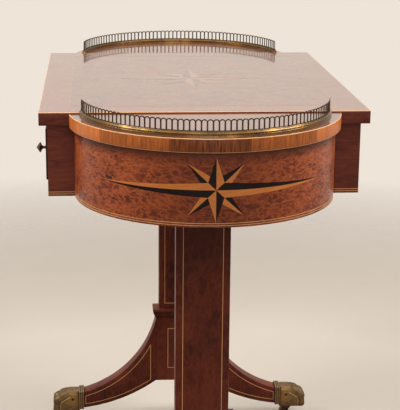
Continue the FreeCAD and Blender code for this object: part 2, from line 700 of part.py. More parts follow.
def column(side):
    x, y = COLUMN_THICKNESS / 2, COLUMN_WIDTH / 2
    middle = side * SUPPORT_X
    plank = box((middle - x, middle + x), (-y, y), (CAP_TOP, FRIEZE_BOTTOM))
    plank = round_edges(plank, ARRIS, upright_edge)
    foot = column_tenon(side, CAP_TOP - TENON_FOOT_LENGTH, CAP_TOP)
    head = column_tenon(side, FRIEZE_BOTTOM, FRIEZE_BOTTOM + TENON_TOP_LENGTH)
    return plank.fuse([foot, head])


def cap(side):
    """Moulded cap: a square fillet above two reeds that step in towards the block."""
    middle = side * SUPPORT_X

    def slab(inset, bottom, top):
        x = COLUMN_THICKNESS / 2 + CAP_OVERHANG_X - inset
        y = COLUMN_WIDTH / 2 + CAP_OVERHANG_Y - inset
        return box((middle - x, middle + x), (-y, y), (bottom, top))

    def reed(inset, top):
        bar = slab(inset, top - CAP_REED, top)
        return round_edges(bar, NOSE_SHARE * CAP_REED, level_edge)

    fillet_bottom = CAP_TOP - CAP_FILLET
    fillet = round_edges(slab(0, fillet_bottom, CAP_TOP), ARRIS, level_edge)
    lower_top = fillet_bottom - CAP_REED
    core = slab(REED_STEP + CAP_REED / 2, CAP_BOTTOM, CAP_TOP - CAP_FILLET / 2)
    reeds = [reed(REED_INSET, fillet_bottom), reed(REED_INSET + REED_STEP, lower_top)]
    moulding = core.fuse([fillet] + reeds)
    mortise = column_tenon(side, CAP_BOTTOM - TOOL_MARGIN, CAP_TOP + TOOL_MARGIN, TENON_GAP)
    return moulding.removeSplitter().cut(mortise)


def leg_tenon(gap=0.0):
    """Tenon of the right back leg in its block."""
    x = LEG_TENON_THICKNESS / 2 + gap
    shoulder = BLOCK_WIDTH / 2
    z = (BLOCK_BOTTOM + LEG_TENON_MARGIN - gap, BLOCK_TOP - LEG_TENON_MARGIN + gap)
    return box((SUPPORT_X - x, SUPPORT_X + x), (shoulder - LEG_TENON_LENGTH - gap, shoulder), z)


def foot_tenon(gap=0.0):
    """Tenon of the right back leg in its paw."""
    x = FOOT_TENON_WIDTH / 2 + gap
    z = (FOOT_TENON_BOTTOM - gap, FOOT_TENON_TOP + gap)
    return box((SUPPORT_X - x, SUPPORT_X + x), (LEG_FOOT_Y, LEG_FOOT_Y + FOOT_TENON_LENGTH + gap), z)


def foot_pin(recess=FOOT_PIN_RECESS, gap=0.0):
    """Pin across the right back paw and its tenon, a little below the paw's sides."""
    half = PAW_WIDTH / 2 - recess
    z = (FOOT_TENON_BOTTOM + FOOT_TENON_TOP) / 2
    return rod(FOOT_PIN_RADIUS + gap, 2 * half, vec(SUPPORT_X - half, FOOT_PIN_Y, z), ALONG_X)


def foot_pin_hole():
    return foot_pin(-TOOL_MARGIN, FASTENER_GAP)


def leg_block(side):
    x, y = LEG_THICKNESS / 2, BLOCK_WIDTH / 2
    middle = side * SUPPORT_X
    block = box((middle - x, middle + x), (-y, y), (BLOCK_BOTTOM, BLOCK_TOP))
    mortise = column_tenon(side, CAP_TOP - TENON_FOOT_LENGTH - TENON_GAP, BLOCK_TOP, TENON_GAP)
    sockets = [at_corner(leg_tenon(TENON_GAP), side, depth) for _, depth in DEPTHS]
    return block.cut([mortise] + sockets)


def hollow_arc(start, end, hollow):
    """Arc between two points of the leg's outline that sags below the chord by hollow."""
    chord = end - start
    across = vec(0, chord.z, -chord.y).normalize()
    if across.z > 0:
        across = across * -1
    middle = (start + end) * 0.5 + across * hollow
    return arc(start, middle, end)


def sabre_leg():
    """Right back leg: hollow arcs above and below, tenons into the block and the paw."""
    x = SUPPORT_X - LEG_THICKNESS / 2
    root = BLOCK_WIDTH / 2
    high = vec(x, root, BLOCK_TOP - LEG_SHOULDER_DROP)
    low = vec(x, root, BLOCK_BOTTOM)
    toe_low = vec(x, LEG_FOOT_Y, LEG_FOOT_BOTTOM)
    toe_high = vec(x, LEG_FOOT_Y, LEG_FOOT_TOP)
    outline = faced([
        hollow_arc(high, toe_high, LEG_UPPER_HOLLOW),
        line(toe_high, toe_low),
        hollow_arc(toe_low, low, LEG_LOWER_HOLLOW),
        line(low, high),
    ])
    blade = outline.extrude(vec(LEG_THICKNESS, 0, 0))
    return blade.fuse([leg_tenon(), foot_tenon()]).cut(foot_pin_hole())


def rounded_section(y, half_width, low, high):
    """Upright rounded rectangle across a paw, at the distance y from the middle."""
    corner = min(PAW_CORNER, CORNER_SHARE * (high - low), CORNER_SHARE * 2 * half_width)
    bulge = corner * (1 - math.sqrt(0.5))
    left, right = SUPPORT_X - half_width, SUPPORT_X + half_width
    edges = [
        line(vec(left + corner, y, low), vec(right - corner, y, low)),
        arc(vec(right - corner, y, low), vec(right - bulge, y, low + bulge), vec(right, y, low + corner)),
        line(vec(right, y, low + corner), vec(right, y, high - corner)),
        arc(vec(right, y, high - corner), vec(right - bulge, y, high - bulge), vec(right - corner, y, high)),
        line(vec(right - corner, y, high), vec(left + corner, y, high)),
        arc(vec(left + corner, y, high), vec(left + bulge, y, high - bulge), vec(left, y, high - corner)),
        line(vec(left, y, high - corner), vec(left, y, low + corner)),
        arc(vec(left, y, low + corner), vec(left + bulge, y, low + bulge), vec(left + corner, y, low)),
    ]
    return Part.Wire(edges)


def paw():
    """Right back paw: collar, swelling foot and four toes with knuckles, bored for tenon and castor."""
    collar_width = LEG_THICKNESS / 2 + PAW_COLLAR_LIP
    collar_low = LEG_FOOT_BOTTOM - PAW_COLLAR_LIP
    collar_high = LEG_FOOT_TOP + PAW_COLLAR_LIP
    collar_end = LEG_FOOT_Y + PAW_COLLAR_LENGTH
    half = PAW_WIDTH / 2
    toe_y = LEG_FOOT_Y + PAW_LENGTH - PAW_TOE_RADIUS
    collar = Part.makeLoft([rounded_section(LEG_FOOT_Y, collar_width, collar_low, collar_high),
                            rounded_section(collar_end, collar_width, collar_low, collar_high)], True)
    heel_top = collar_high - PAW_HEEL_INSET
    instep_top = collar_high - PAW_INSTEP_DROP
    side = half - PAW_SIDE_INSET
    foot = Part.makeLoft([
        rounded_section(collar_end, collar_width - PAW_HEEL_INSET, PAW_BOTTOM, heel_top),
        rounded_section(collar_end + PAW_INSTEP_RUN, side, PAW_BOTTOM, instep_top),
        rounded_section(collar_end + PAW_SLOPE_RUN, side, PAW_BOTTOM, PAW_BOTTOM + PAW_SLOPE_HEIGHT),
        rounded_section(toe_y, half - PAW_TIP_INSET, PAW_BOTTOM, PAW_BOTTOM + PAW_TIP_HEIGHT),
    ], True)
    toes = []
    spread = (PAW_WIDTH - 2 * PAW_TOE_RADIUS) / (PAW_TOE_COUNT - 1)
    for index in range(PAW_TOE_COUNT):
        x = SUPPORT_X - half + PAW_TOE_RADIUS + index * spread
        toes.append(Part.makeSphere(PAW_TOE_RADIUS, vec(x, toe_y, PAW_BOTTOM + PAW_TOE_RADIUS)))
        knuckle = vec(x, toe_y - PAW_KNUCKLE_SETBACK, PAW_BOTTOM + PAW_KNUCKLE_HEIGHT)
        toes.append(Part.makeSphere(PAW_KNUCKLE_RADIUS, knuckle))
    solid = collar.fuse([foot] + toes).removeSplitter()
    bore_start = PAW_BOTTOM - TOOL_MARGIN
    bore_length = CROWN_TOP + SWIVEL_PIN_LENGTH + SWIVEL_GAP - bore_start
    bore = rod(SWIVEL_PIN_RADIUS + RUNNING_GAP, bore_length, vec(SUPPORT_X, CASTOR_Y, bore_start), UP)
    return solid.cut([foot_tenon(TENON_GAP), foot_pin_hole(), bore])


def castor_fork():
    """Fork under the right back paw: swivel pin, round crown and two cheeks trailing inwards."""
    pin = rod(SWIVEL_PIN_RADIUS, SWIVEL_PIN_LENGTH, vec(SUPPORT_X, CASTOR_Y, CROWN_TOP), UP)
    crown = rod(FORK_CROWN_RADIUS, FORK_CROWN, vec(SUPPORT_X, CASTOR_Y, CROWN_BOTTOM), UP)
    eye = FORK_EYE_RADIUS
    heel = CASTOR_Y + eye
    cheeks = []
    for _, side in SIDES:
        x = SUPPORT_X + side * CHEEK_X

        def at(y, z):
            return vec(x, y, z)

        face = faced([
            line(at(AXLE_Y - eye, AXLE_Z), at(AXLE_Y - eye, CROWN_TOP)),
            line(at(AXLE_Y - eye, CROWN_TOP), at(heel, CROWN_TOP)),
            line(at(heel, CROWN_TOP), at(heel, CROWN_BOTTOM)),
            line(at(heel, CROWN_BOTTOM), at(AXLE_Y + eye, AXLE_Z)),
            arc(at(AXLE_Y + eye, AXLE_Z), at(AXLE_Y, AXLE_Z - eye), at(AXLE_Y - eye, AXLE_Z)),
        ])
        cheeks.append(face.extrude(vec(side * FORK_CHEEK, 0, 0)))
    bridge = box((SUPPORT_X - CHEEK_X, SUPPORT_X + CHEEK_X), (AXLE_Y - eye, CASTOR_Y),
                 (CROWN_BOTTOM, CROWN_TOP))
    fork = crown.fuse([pin, bridge] + cheeks).removeSplitter()
    return fork.cut(axle(RUNNING_GAP))


def axle(gap=0.0):
    half = CHEEK_X + FORK_CHEEK + AXLE_END + gap
    return rod(AXLE_RADIUS + gap, 2 * half, vec(SUPPORT_X - half, AXLE_Y, AXLE_Z), ALONG_X)


def wheel():
    start = vec(SUPPORT_X - WHEEL_WIDTH / 2, AXLE_Y, AXLE_Z)
    tread = rod(WHEEL_RADIUS, WHEEL_WIDTH, start, ALONG_X)
    tread = round_edges(tread, WHEEL_ROUND, round_edge)
    return tread.cut(rod(AXLE_RADIUS + RUNNING_GAP, WHEEL_WIDTH, start, ALONG_X))


def all_nodes():
    """Every node's name and shape."""
    nodes = {"centre_top": centre_top()}
    ends = {"end_top": end_top(), "gallery_rail": gallery_rail(), "gallery_arcade": gallery_arcade(),
            "end_frieze": end_frieze()}
    for name, shape in ends.items():
        for word, side in SIDES:
            nodes[word + "_" + name] = at_end(shape, side)
    pins = [gallery_pin(index) for index in range(GALLERY_PIN_COUNT)]
    nodes["gallery_pins"] = Part.makeCompound([at_end(pin, side) for _, side in SIDES for pin in pins])

    nodes["back_rail"] = back_rail()
    nodes["drawer_lower_rail"] = drawer_rail(FRIEZE_BOTTOM, OPENING_BOTTOM)
    nodes["drawer_upper_rail"] = drawer_rail(OPENING_TOP, CENTRE_TOP_BOTTOM)
    for word, side in SIDES:
        nodes[word + "_end_rail"] = end_rail(side)
        nodes[word + "_runner"] = runner(side)
        nodes[word + "_column"] = column(side)
        nodes[word + "_cap"] = cap(side)
        nodes[word + "_leg_block"] = leg_block(side)
    nodes["drawer_stiles"] = Part.makeCompound([stile(side) for _, side in SIDES])
    nodes["drawer_guides"] = Part.makeCompound([guide(side) for _, side in SIDES])
    nodes["drawer_kickers"] = Part.makeCompound([kicker(side) for _, side in SIDES])
    nodes["drawer_stops"] = Part.makeCompound([drawer_stop(side) for _, side in SIDES])
    nodes["end_battens"] = Part.makeCompound([batten(side) for _, side in SIDES])
    corners = [(side, depth) for _, side in SIDES for _, depth in DEPTHS]
    nodes["frieze_blocks"] = Part.makeCompound([glue_block(side, depth) for side, depth in corners])
    screws = [top_screw(place) for place in screw_places()]
    screws += [batten_screw(place) for place in batten_screw_places()]
    nodes["top_screws"] = Part.makeCompound(screws)

    sides = {word: drawer_side(side) for word, side in SIDES}
    nodes["drawer_front"] = drawer_front(list(sides.values()))
    nodes["drawer_beads"] = drawer_beads()
    for word, shape in sides.items():
        nodes["drawer_" + word + "_side"] = shape
    nodes["drawer_back"] = drawer_back()
    nodes["drawer_bottom"] = drawer_bottom()
    nodes["drawer_knobs"] = Part.makeCompound([knob(side) for _, side in SIDES])
    nodes["knob_plates"] = Part.makeCompound([knob_plate(side) for _, side in SIDES])
    nodes["knob_nuts"] = Part.makeCompound([knob_nut(side) for _, side in SIDES])

    feet = {"leg": sabre_leg(), "paw": paw(), "castor_fork": castor_fork(), "castor_axle": axle(),
            "castor_wheel": wheel()}
    for word, side in SIDES:
        for place, depth in DEPTHS:
            for name, shape in feet.items():
                nodes["_".join((word, place, name))] = at_corner(shape, side, depth)
    nodes["foot_pins"] = Part.makeCompound([at_corner(foot_pin(), side, depth) for side, depth in corners])
    return nodes


os.makedirs("parts", exist_ok=True)
for node_name, node_shape in all_nodes().items():
    node_shape.exportStep(os.path.join("parts", node_name + ".step"))
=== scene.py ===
import math

import bmesh
import bpy
import numpy as np
from bpy.props import FloatProperty, FloatVectorProperty, PointerProperty
from mathutils import Matrix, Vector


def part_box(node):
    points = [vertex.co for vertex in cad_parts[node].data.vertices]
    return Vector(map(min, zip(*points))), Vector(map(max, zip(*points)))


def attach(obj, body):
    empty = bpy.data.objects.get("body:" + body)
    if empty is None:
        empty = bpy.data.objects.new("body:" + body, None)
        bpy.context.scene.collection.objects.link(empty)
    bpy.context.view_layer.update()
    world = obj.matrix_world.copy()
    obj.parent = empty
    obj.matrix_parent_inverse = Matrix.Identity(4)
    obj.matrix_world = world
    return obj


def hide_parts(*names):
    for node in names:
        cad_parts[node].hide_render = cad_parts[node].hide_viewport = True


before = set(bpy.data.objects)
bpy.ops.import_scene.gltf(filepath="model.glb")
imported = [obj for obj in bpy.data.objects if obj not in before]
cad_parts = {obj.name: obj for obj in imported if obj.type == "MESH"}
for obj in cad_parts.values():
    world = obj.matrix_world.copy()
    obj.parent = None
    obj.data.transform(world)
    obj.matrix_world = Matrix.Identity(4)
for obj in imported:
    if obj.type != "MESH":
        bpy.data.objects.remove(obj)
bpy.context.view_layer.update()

bl_info = {
    "name": "Galleried Writing Table",
    "version": (1, 0, 0),
    "blender": (4, 5, 0),
    "location": "View3D > Sidebar > Writing Table",
    "description": "Veneers, inlay, brass and stage of a writing table with galleried D ends",
    "category": "Object",
}

MM = 0.001
QUARTER = math.pi / 2
FACES = (1, -1)
SIDES = {"right": 1, "left": -1}
DEPTHS = {"front": -1, "back": 1}
CORNERS = [(f"{end}_{place}", side, depth) for end, side in SIDES.items() for place, depth in DEPTHS.items()]

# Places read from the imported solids, in metres
TOP_LOW, TOP_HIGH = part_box("centre_top")
END_LOW, END_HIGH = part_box("right_end_top")
FRIEZE_LOW, FRIEZE_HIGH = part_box("right_end_frieze")
RAIL_LOW, RAIL_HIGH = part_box("right_end_rail")
GALLERY_LOW, GALLERY_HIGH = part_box("right_gallery_rail")
ARCADE_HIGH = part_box("right_gallery_arcade")[1]
COLUMN_LOW, COLUMN_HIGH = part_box("right_column")
CAP_LOW, CAP_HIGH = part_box("right_cap")
BLOCK_LOW, BLOCK_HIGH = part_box("right_leg_block")
PAW_LOW, PAW_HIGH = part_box("right_back_paw")
WHEEL_LOW, WHEEL_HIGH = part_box("right_back_castor_wheel")
KNOB_LOW, KNOB_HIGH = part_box("drawer_knobs")
PLATE_LOW, PLATE_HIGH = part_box("knob_plates")
PIN_LOW, PIN_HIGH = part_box("foot_pins")
FRONT_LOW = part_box("drawer_front")[0]
FRIEZE_BOTTOM = RAIL_LOW.z
SUPPORT_X = (CAP_LOW.x + CAP_HIGH.x) / 2
BLOCK_HALF = (BLOCK_HIGH.x - BLOCK_LOW.x) / 2
PIN_RADIUS = 2.0 * MM
PIN_Y, PIN_Z = PIN_HIGH.y - PIN_RADIUS, (PIN_LOW.z + PIN_HIGH.z) / 2
END_BULGE = END_HIGH.x - END_LOW.x
END_RADIUS = (END_BULGE ** 2 + END_HIGH.y ** 2) / (2 * END_BULGE)
END_CENTRE = END_HIGH.x - END_RADIUS
FRIEZE_RADIUS = FRIEZE_HIGH.x - END_CENTRE
GALLERY_RADIUS = GALLERY_HIGH.x - END_CENTRE
ARCADE_RADIUS = ARCADE_HIGH.x - END_CENTRE

# Toes in millimetres from the middle and back of a paw: across, ahead, half width, half length, claw ahead
TOES = np.array([(-13.9, 53.4, 5.9, 8.7, 60.1), (-4.7, 56.1, 5.2, 6.2, 60.3),
                 (4.7, 56.1, 5.2, 6.2, 60.3), (13.9, 53.4, 5.9, 8.7, 60.1)])

# Polish of the woods: smooth and dull roughness, specular level, coat and coat roughness
TOP_GLOSS = (0.24, 0.36, 0.5, 1.0, 0.05)
FRIEZE_GLOSS = (0.28, 0.42, 0.16, 0.1, 0.12)
PILLAR_GLOSS = (0.3, 0.46, 0.12, 0.0, 0.2)
PLAIN_GLOSS = (0.5, 0.7, 0.2, 0.0, 0.2)

# Depth of the pores, from filled with polish to open
FILLED, FINE, INLAID, OPEN, RAW = (depth * MM for depth in (0.001, 0.02, 0.04, 0.08, 0.3))

# Soft square lights in metres: place, aim, side and the setting that gives the power
LIGHTS = {
    "front_light": ((0.15, -1.9, 2.6), (0.0, 0.0, 0.5), 1.4, "key_power"),
    "back_light": ((0.15, 1.9, 2.6), (0.0, 0.0, 0.5), 1.4, "fill_power"),
    "right_light": ((2.4, 0.1, 1.6), (0.4, 0.0, 0.5), 1.6, "end_power"),
    "left_light": ((-1.7, -0.1, 2.7), (-0.4, 0.0, 0.5), 1.6, "end_power"),
    "top_light": ((0.4, 0.0, 2.9), (0.0, 0.0, 0.7), 2.8, "top_power"),
}


def srgb(red, green, blue):
    """Linear colour of a colour written in 0 to 255 screen values."""
    share = np.array([red, green, blue]) / 255
    return tuple(np.where(share <= 0.04045, share / 12.92, ((share + 0.055) / 1.055) ** 2.4).tolist())


def size(name, description, millimetres):
    """A length property in metres, written in millimetres."""
    return FloatProperty(name=name, description=description, default=millimetres * MM, min=0.0, unit="LENGTH")


def colour(name, description, red, green, blue):
    """A colour property written in screen values."""
    return FloatVectorProperty(name=name, description=description, size=3, subtype="COLOR",
                               default=srgb(red, green, blue), min=0.0, max=1.0)


def angle(name, description, degrees):
    """An angle property written in degrees."""
    return FloatProperty(name=name, description=description, default=math.radians(degrees), subtype="ANGLE")


def amount(name, description, default, **kind):
    """A number of 0 or more, such as a light's power."""
    return FloatProperty(name=name, description=description, default=default, min=0.0, **kind)


class WRITINGTABLE_PG_sizes(bpy.types.PropertyGroup):
    """Sizes of the inlay and of the mouldings that the veneered pieces carry."""

    edge_round: size("Top edge", "Radius of the strung arrises of the tops", 0.9)
    border: size("Crossbanding", "Width of the crossbanded border of the centre top", 46)
    end_border: size("End crossbanding", "Width of the crossbanded border of the D tops", 12)
    string_width: size("String", "Width of the strings of friezes and top", 0.9)
    pillar_string: size("Pillar string", "Width of the strings of columns, blocks and legs", 1.1)
    inlay_proud: size("Inlay proud", "How far strings and stars stand above the veneer", 0.12)
    inlay_depth: size("Inlay depth", "How far strings and stars go into the veneer", 0.6)
    string_low: size("Lower string", "Height of the lower frieze string above the frieze's edge", 3.2)
    string_high: size("Upper string", "Height of the upper frieze string above the frieze's edge", 6.4)
    star_rise: size("Star rise", "Half height of the frieze star", 47)
    star_reach: size("Star reach", "Half length of the frieze star's long rays", 182.5)
    star_slant: size("Star slant", "Run of the frieze star's slanting rays", 40)
    star_notch: size("Star notch", "Run of the notches between the frieze star's main rays", 11.5)
    top_star_rise: size("Top star length", "Half length of the top's star along the table", 104)
    top_star_reach: size("Top star width", "Half width of the top's star across the table", 120)
    top_star_slant: size("Top star slant", "Run of the slanting rays of the top's star", 58)
    top_star_notch: size("Top star notch", "Run of the notches of the top's star", 15)
    column_inset: size("Column string", "Inset of the column's string from its sides", 11.5)
    arris: size("Arris", "Radius of the arrises of columns, blocks and legs", 1.3)
    gallery_pitch: size("Arch pitch", "Distance between the gallery's slats", 8.2)
    gallery_slat: size("Slat", "Width of the gallery's slats", 2.3)


class WRITINGTABLE_PG_finishes(bpy.types.PropertyGroup):
    """Colours of the woods and metals."""

    # Burr, dark is also the colour of the friezes' painted shade and painted shadow.
    burr_dark: colour("Burr, dark", "Dark figure of the burr veneer", 76, 30, 18)
    burr_middle: colour("Burr, middle", "Ground of the burr veneer", 136, 58, 31)
    burr_light: colour("Burr, light", "Light figure of the burr veneer", 206, 107, 56)
    top_dark: colour("Top burr, dark", "Dark figure of the tops' burr", 66, 31, 23)
    top_middle: colour("Top burr, middle", "Ground of the tops' burr", 92, 47, 33)
    top_light: colour("Top burr, light", "Light figure of the tops' burr", 122, 68, 46)
    # Pillar veneer, dark is also the colour of the painted shadow at the pillars' heads.
    dark_low: colour("Pillar veneer, dark", "Dark figure of the pillar veneer", 52, 20, 14)
    dark_middle: colour("Pillar veneer, middle", "Ground of the pillar veneer", 95, 39, 26)
    dark_high: colour("Pillar veneer, light", "Light figure of the pillar veneer", 132, 63, 41)
    rail_low: colour("Rail veneer, dark", "Dark figure of rails and top edge", 80, 36, 28)
    rail_high: colour("Rail veneer, light", "Light figure of rails and top edge", 120, 59, 44)
    band_low: colour("Crossbanding, dark", "Dark figure of the crossbanding", 84, 36, 15)
    band_high: colour("Crossbanding, light", "Light figure of the crossbanding", 234, 130, 60)
    # Boxwood also paints the highlight and wear on the centre top's upper arris.
    boxwood: colour("Boxwood", "Strings and the centre top's worn arris", 226, 166, 110)
    rim: colour("Rim", "Pale arrises of the D tops", 226, 172, 118)
    satinwood: colour("Satinwood", "Light halves of the frieze stars", 214, 127, 62)
    ebony: colour("Ebony", "Dark halves of the frieze stars", 22, 10, 8)
    top_light_inlay: colour("Top star, light", "Light halves of the top's star and its string", 132, 82, 56)
    top_dark_inlay: colour("Top star, dark", "Dark halves of the top's star", 70, 36, 26)
    lining: colour("Lining", "Drawer linings and hidden carcass wood", 146, 104, 62)
    brass: colour("Brass", "Gallery rails and worn brass", 134, 100, 56)
    dull_brass: colour("Dull brass", "Knobs and castor wheels", 120, 94, 60)
    arch: colour("Arch brass", "Arches of the galleries", 92, 66, 43)
    paw_light: colour("Paw brass, light", "Thin skin of the paws", 118, 92, 58)
    paw_dark: colour("Paw brass, dark", "Thick skin of the paws", 82, 62, 41)
    paw_ridge: colour("Paw brass, worn", "Worn ridges of the paws", 168, 140, 104)
    patina: colour("Patina", "Brown skin on aged brass", 82, 62, 40)
    deep_patina: colour("Deep patina", "Dark skin in hollows", 34, 24, 16)
    steel: colour("Steel", "Screws, nuts and axles", 128, 124, 118)


class WRITINGTABLE_PG_stage(bpy.types.PropertyGroup):
    """Camera, light and floor."""

    camera_place: FloatVectorProperty(name="Camera", description="Place of the camera", size=3, subtype="XYZ",
                                      unit="LENGTH", default=(2.19726, -0.16549, 1.12014))
    camera_turn: angle("Turn", "Turn of the view from the table's long axis", 4.744)
    camera_tilt: angle("Tilt", "Downward tilt of the view", 15.130)
    camera_roll: angle("Roll", "Roll of the view", 0.538)
    camera_lens: amount("Lens", "Focal length on a 36 mm frame", 113.521, unit="CAMERA")
    surround: colour("Surround", "Pale colour round the table", 238, 228, 216)
    floor: colour("Floor", "Pale floor under the table", 196, 184, 170)
    floor_bounce: amount("Floor bounce", "Share of the floor's light that reaches the table", 0.5,
                         max=1.0, subtype="FACTOR")
    key_power: amount("Front light", "Power of the light on the drawer side", 74.0, unit="POWER")
    fill_power: amount("Back light", "Power of the light on the plain side", 74.0, unit="POWER")
    end_power: amount("End lights", "Power of the light on each end", 24.0, unit="POWER")
    top_power: amount("Top light", "Power of the light overhead", 22.0, unit="POWER")
    ambient: amount("Ambient", "Strength of the even light from all round", 0.06)


def sizes():
    return bpy.context.scene.writing_table_sizes


def finishes():
    return bpy.context.scene.writing_table_finishes


def stage_settings():
    return bpy.context.scene.writing_table_stage


def running_length(points, axis, wrap):
    """Length along one axis of a grid of points, averaged over the other axis and starting at 0."""
    if wrap:
        points = np.concatenate([points, np.take(points, [0], axis=axis)], axis)
    lengths = np.linalg.norm(np.diff(points, axis=axis), axis=-1).mean(axis=1 - axis)
    return np.concatenate([[0.0], np.cumsum(lengths)])


def signed_volume(points, faces):
    """Sum over a face's fan of triangles of a . (b x c) / 6: above 0 where the faces point outwards."""
    corner = points[faces]
    cross = np.cross(corner[:, 1:-1], corner[:, 2:])
    return np.einsum("fk,fjk->", corner[:, 0], cross) / 6


def grid(points, along=False, caps=True, finish=0, cap_finish=(0, 0), worn=0.5):
    """Closed skin over rings of points, shape (rings, count, 3), or several alike, (copies, rings, count, 3).

    Face (i, j) joins points j and j + 1 of rings i and i + 1. Each ring is closed; along joins the last ring
    to the first, and caps closes the first and last ring. U runs round the rings and V across them, both in
    metres. Finish gives the material index of each face, and the faces are turned to point outwards. Worn
    is 1 on points that are rubbed bright, 0 in hollows and 0.5 elsewhere.
    """
    points = np.asarray(points, float)
    points = points[None] if points.ndim == 3 else points
    copies, rings, count = points.shape[:3]
    first = points[0]
    i, j = np.meshgrid(np.arange(rings if along else rings - 1), np.arange(count), indexing="ij")
    next_i, next_j = (i + 1) % rings, (j + 1) % count
    quads = np.stack([i * count + j, i * count + next_j, next_i * count + next_j, next_i * count + j], -1)
    quads = quads.reshape(-1, 4)
    u, v = running_length(first, 1, True), running_length(first, 0, along)
    quad_uv = np.stack([u[j], v[i], u[j + 1], v[i], u[j + 1], v[i + 1], u[j], v[i + 1]], -1).reshape(-1, 4, 2)
    flat = first.reshape(-1, 3)
    volume = signed_volume(flat, quads)
    ends = np.zeros((0, count), int)
    end_uv = np.zeros((0, count, 2))
    if caps:
        ends = np.stack([np.arange(count)[::-1], np.arange(count) + (rings - 1) * count])
        spread = np.sort(np.argsort(np.ptp(flat[ends[0]], axis=0))[1:])
        end_uv = flat[ends][:, :, spread]
        volume += signed_volume(flat, ends)
    if volume < 0:
        quads, quad_uv, ends, end_uv = (rows[:, ::-1] for rows in (quads, quad_uv, ends, end_uv))
    shift = (np.arange(copies) * rings * count)[:, None, None]
    return {
        "points": points.reshape(-1, 3),
        "faces": [(quads + shift).reshape(-1, 4), (ends + shift).reshape(-1, count)],
        "uv": [np.tile(quad_uv, (copies, 1, 1)), np.tile(end_uv, (copies, 1, 1))],
        "finish": [np.tile(np.broadcast_to(finish, i.shape).ravel(), copies),
                   np.tile(np.array(cap_finish[:len(ends)], int), copies)],
        "worn": np.broadcast_to(worn, points.shape[:3]).ravel(),
    }


def piece(name, parts, materials, replaced="", body="table", crease=38.0, weld=False):
    """Joins grid parts into one mesh at the origin, smooth up to the crease angle, riding on a body."""
    faces, uv, finish, start = [], [], [], 0
    for part in parts:
        for face_rows, uv_rows, finish_rows in zip(part["faces"], part["uv"], part["finish"]):
            faces += (face_rows + start).tolist()
            uv.append(uv_rows.reshape(-1, 2))
            finish.append(finish_rows)
        start += len(part["points"])
    mesh = bpy.data.meshes.new(name)
    mesh.from_pydata(np.concatenate([part["points"] for part in parts]).tolist(), [], faces)
    mesh.uv_layers.new(name="UVMap").data.foreach_set("uv", np.concatenate(uv).astype(np.float32).ravel())
    mesh.polygons.foreach_set("material_index", np.concatenate(finish).astype(np.int32))
    worn = np.concatenate([part["worn"] for part in parts])
    if np.ptp(worn) > 0:
        mesh.attributes.new("worn", "FLOAT", "POINT").data.foreach_set("value", worn.astype(np.float32))
    for material in materials.split():
        mesh.materials.append(bpy.data.materials[material])
    if weld:
        shell = bmesh.new()
        shell.from_mesh(mesh)
        bmesh.ops.remove_doubles(shell, verts=shell.verts, dist=1e-7)
        shell.to_mesh(mesh)
        shell.free()
    mesh.shade_smooth()
    mesh.set_sharp_from_angle(angle=math.radians(crease))
    obj = bpy.data.objects.new(name, mesh)
    bpy.context.scene.collection.objects.link(obj)
    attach(obj, body)
    if replaced:
        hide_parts(replaced)


def dress(material, *nodes):
    """Gives CAD nodes that keep their own shape a material."""
    for name in nodes:
        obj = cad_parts[name]
        if not obj.material_slots:
            obj.data.materials.append(bpy.data.materials[material])
        for place in obj.material_slots:
            place.material = bpy.data.materials[material]


def at_side(points, side):
    """The right end's points, or half a turn about the table's middle for the left end."""
    return np.asarray(points) * (side, side, 1)


def at_corner(points, side, depth):
    """The right back corner's points, mirrored to another corner."""
    return np.asarray(points) * (side, depth, 1)


def through(knots, values, at):
    """Smooth curve through values at knots: cubic Hermite pieces with the slopes of neighbouring knots."""
    knots, values = np.asarray(knots, float), np.asarray(values, float)
    slope = np.gradient(values, knots)
    i = np.clip(np.searchsorted(knots, at, side="right") - 1, 0, len(knots) - 2)
    width = knots[i + 1] - knots[i]
    t = (at - knots[i]) / width
    return ((1 + 2 * t) * (1 - t) ** 2 * values[i] + t * (1 - t) ** 2 * width * slope[i]
            + t * t * (3 - 2 * t) * values[i + 1] + t * t * (t - 1) * width * slope[i + 1])


def ease(value, low, high):
    """Smooth step: 0 below low, 1 above high."""
    t = np.clip((value - low) / (high - low), 0, 1)
    return t * t * (3 - 2 * t)


def ridge(value, width):
    """Round ridge: exp(-(value / width)^2)."""
    return np.exp(-(value / width) ** 2)


def rounded_rectangle(half_x, half_y, radius, steps=4):
    """Outline of a rectangle with round corners: corner centre plus radius (cos a, sin a), by quarter turns.

    Half sizes may be arrays, which gives one outline for each value.
    """
    half_x, half_y, radius = (value[..., None] for value in np.broadcast_arrays(half_x, half_y, radius))
    turn = (np.linspace(0, QUARTER, steps) + np.arange(4)[:, None] * QUARTER).ravel()
    x = np.repeat([1, -1, -1, 1], steps) * (half_x - radius) + radius * np.cos(turn)
    y = np.repeat([1, 1, -1, -1], steps) * (half_y - radius) + radius * np.sin(turn)
    return np.stack([x, y], -1)


def end_outline(radius, chord, steps=121):
    """D outline: (c + r cos a, r sin a), |a| up to acos((chord - c) / r), closed by the chord."""
    radius = np.asarray(radius, float)[..., None]
    turn = np.linspace(-1, 1, steps) * np.arccos((chord - END_CENTRE) / radius)
    return np.stack([END_CENTRE + radius * np.cos(turn), radius * np.sin(turn)], -1)


def end_sweep(radius, height, chord):
    """Profile (radius r, height z) carried round a D end: x = c + r cos a, y = r sin a, up to the chord."""
    outline = end_outline(radius, chord).transpose(1, 0, 2)
    return np.concatenate([outline, np.broadcast_to(height, outline.shape[:2])[..., None]], -1)


def on_arc(run, radius, out, level):
    """Points round a D end: x = c + out cos(run / radius), y = out sin(run / radius), z = level."""
    x, y = END_CENTRE + out * np.cos(run / radius), out * np.sin(run / radius)
    return np.stack(np.broadcast_arrays(x, y, level), -1)


def stacked(outlines, height):
    """Outlines (rings, count, 2), each at its own height."""
    height = np.broadcast_to(np.asarray(height)[:, None], outlines.shape[:2])
    return np.concatenate([outlines, height[..., None]], -1)


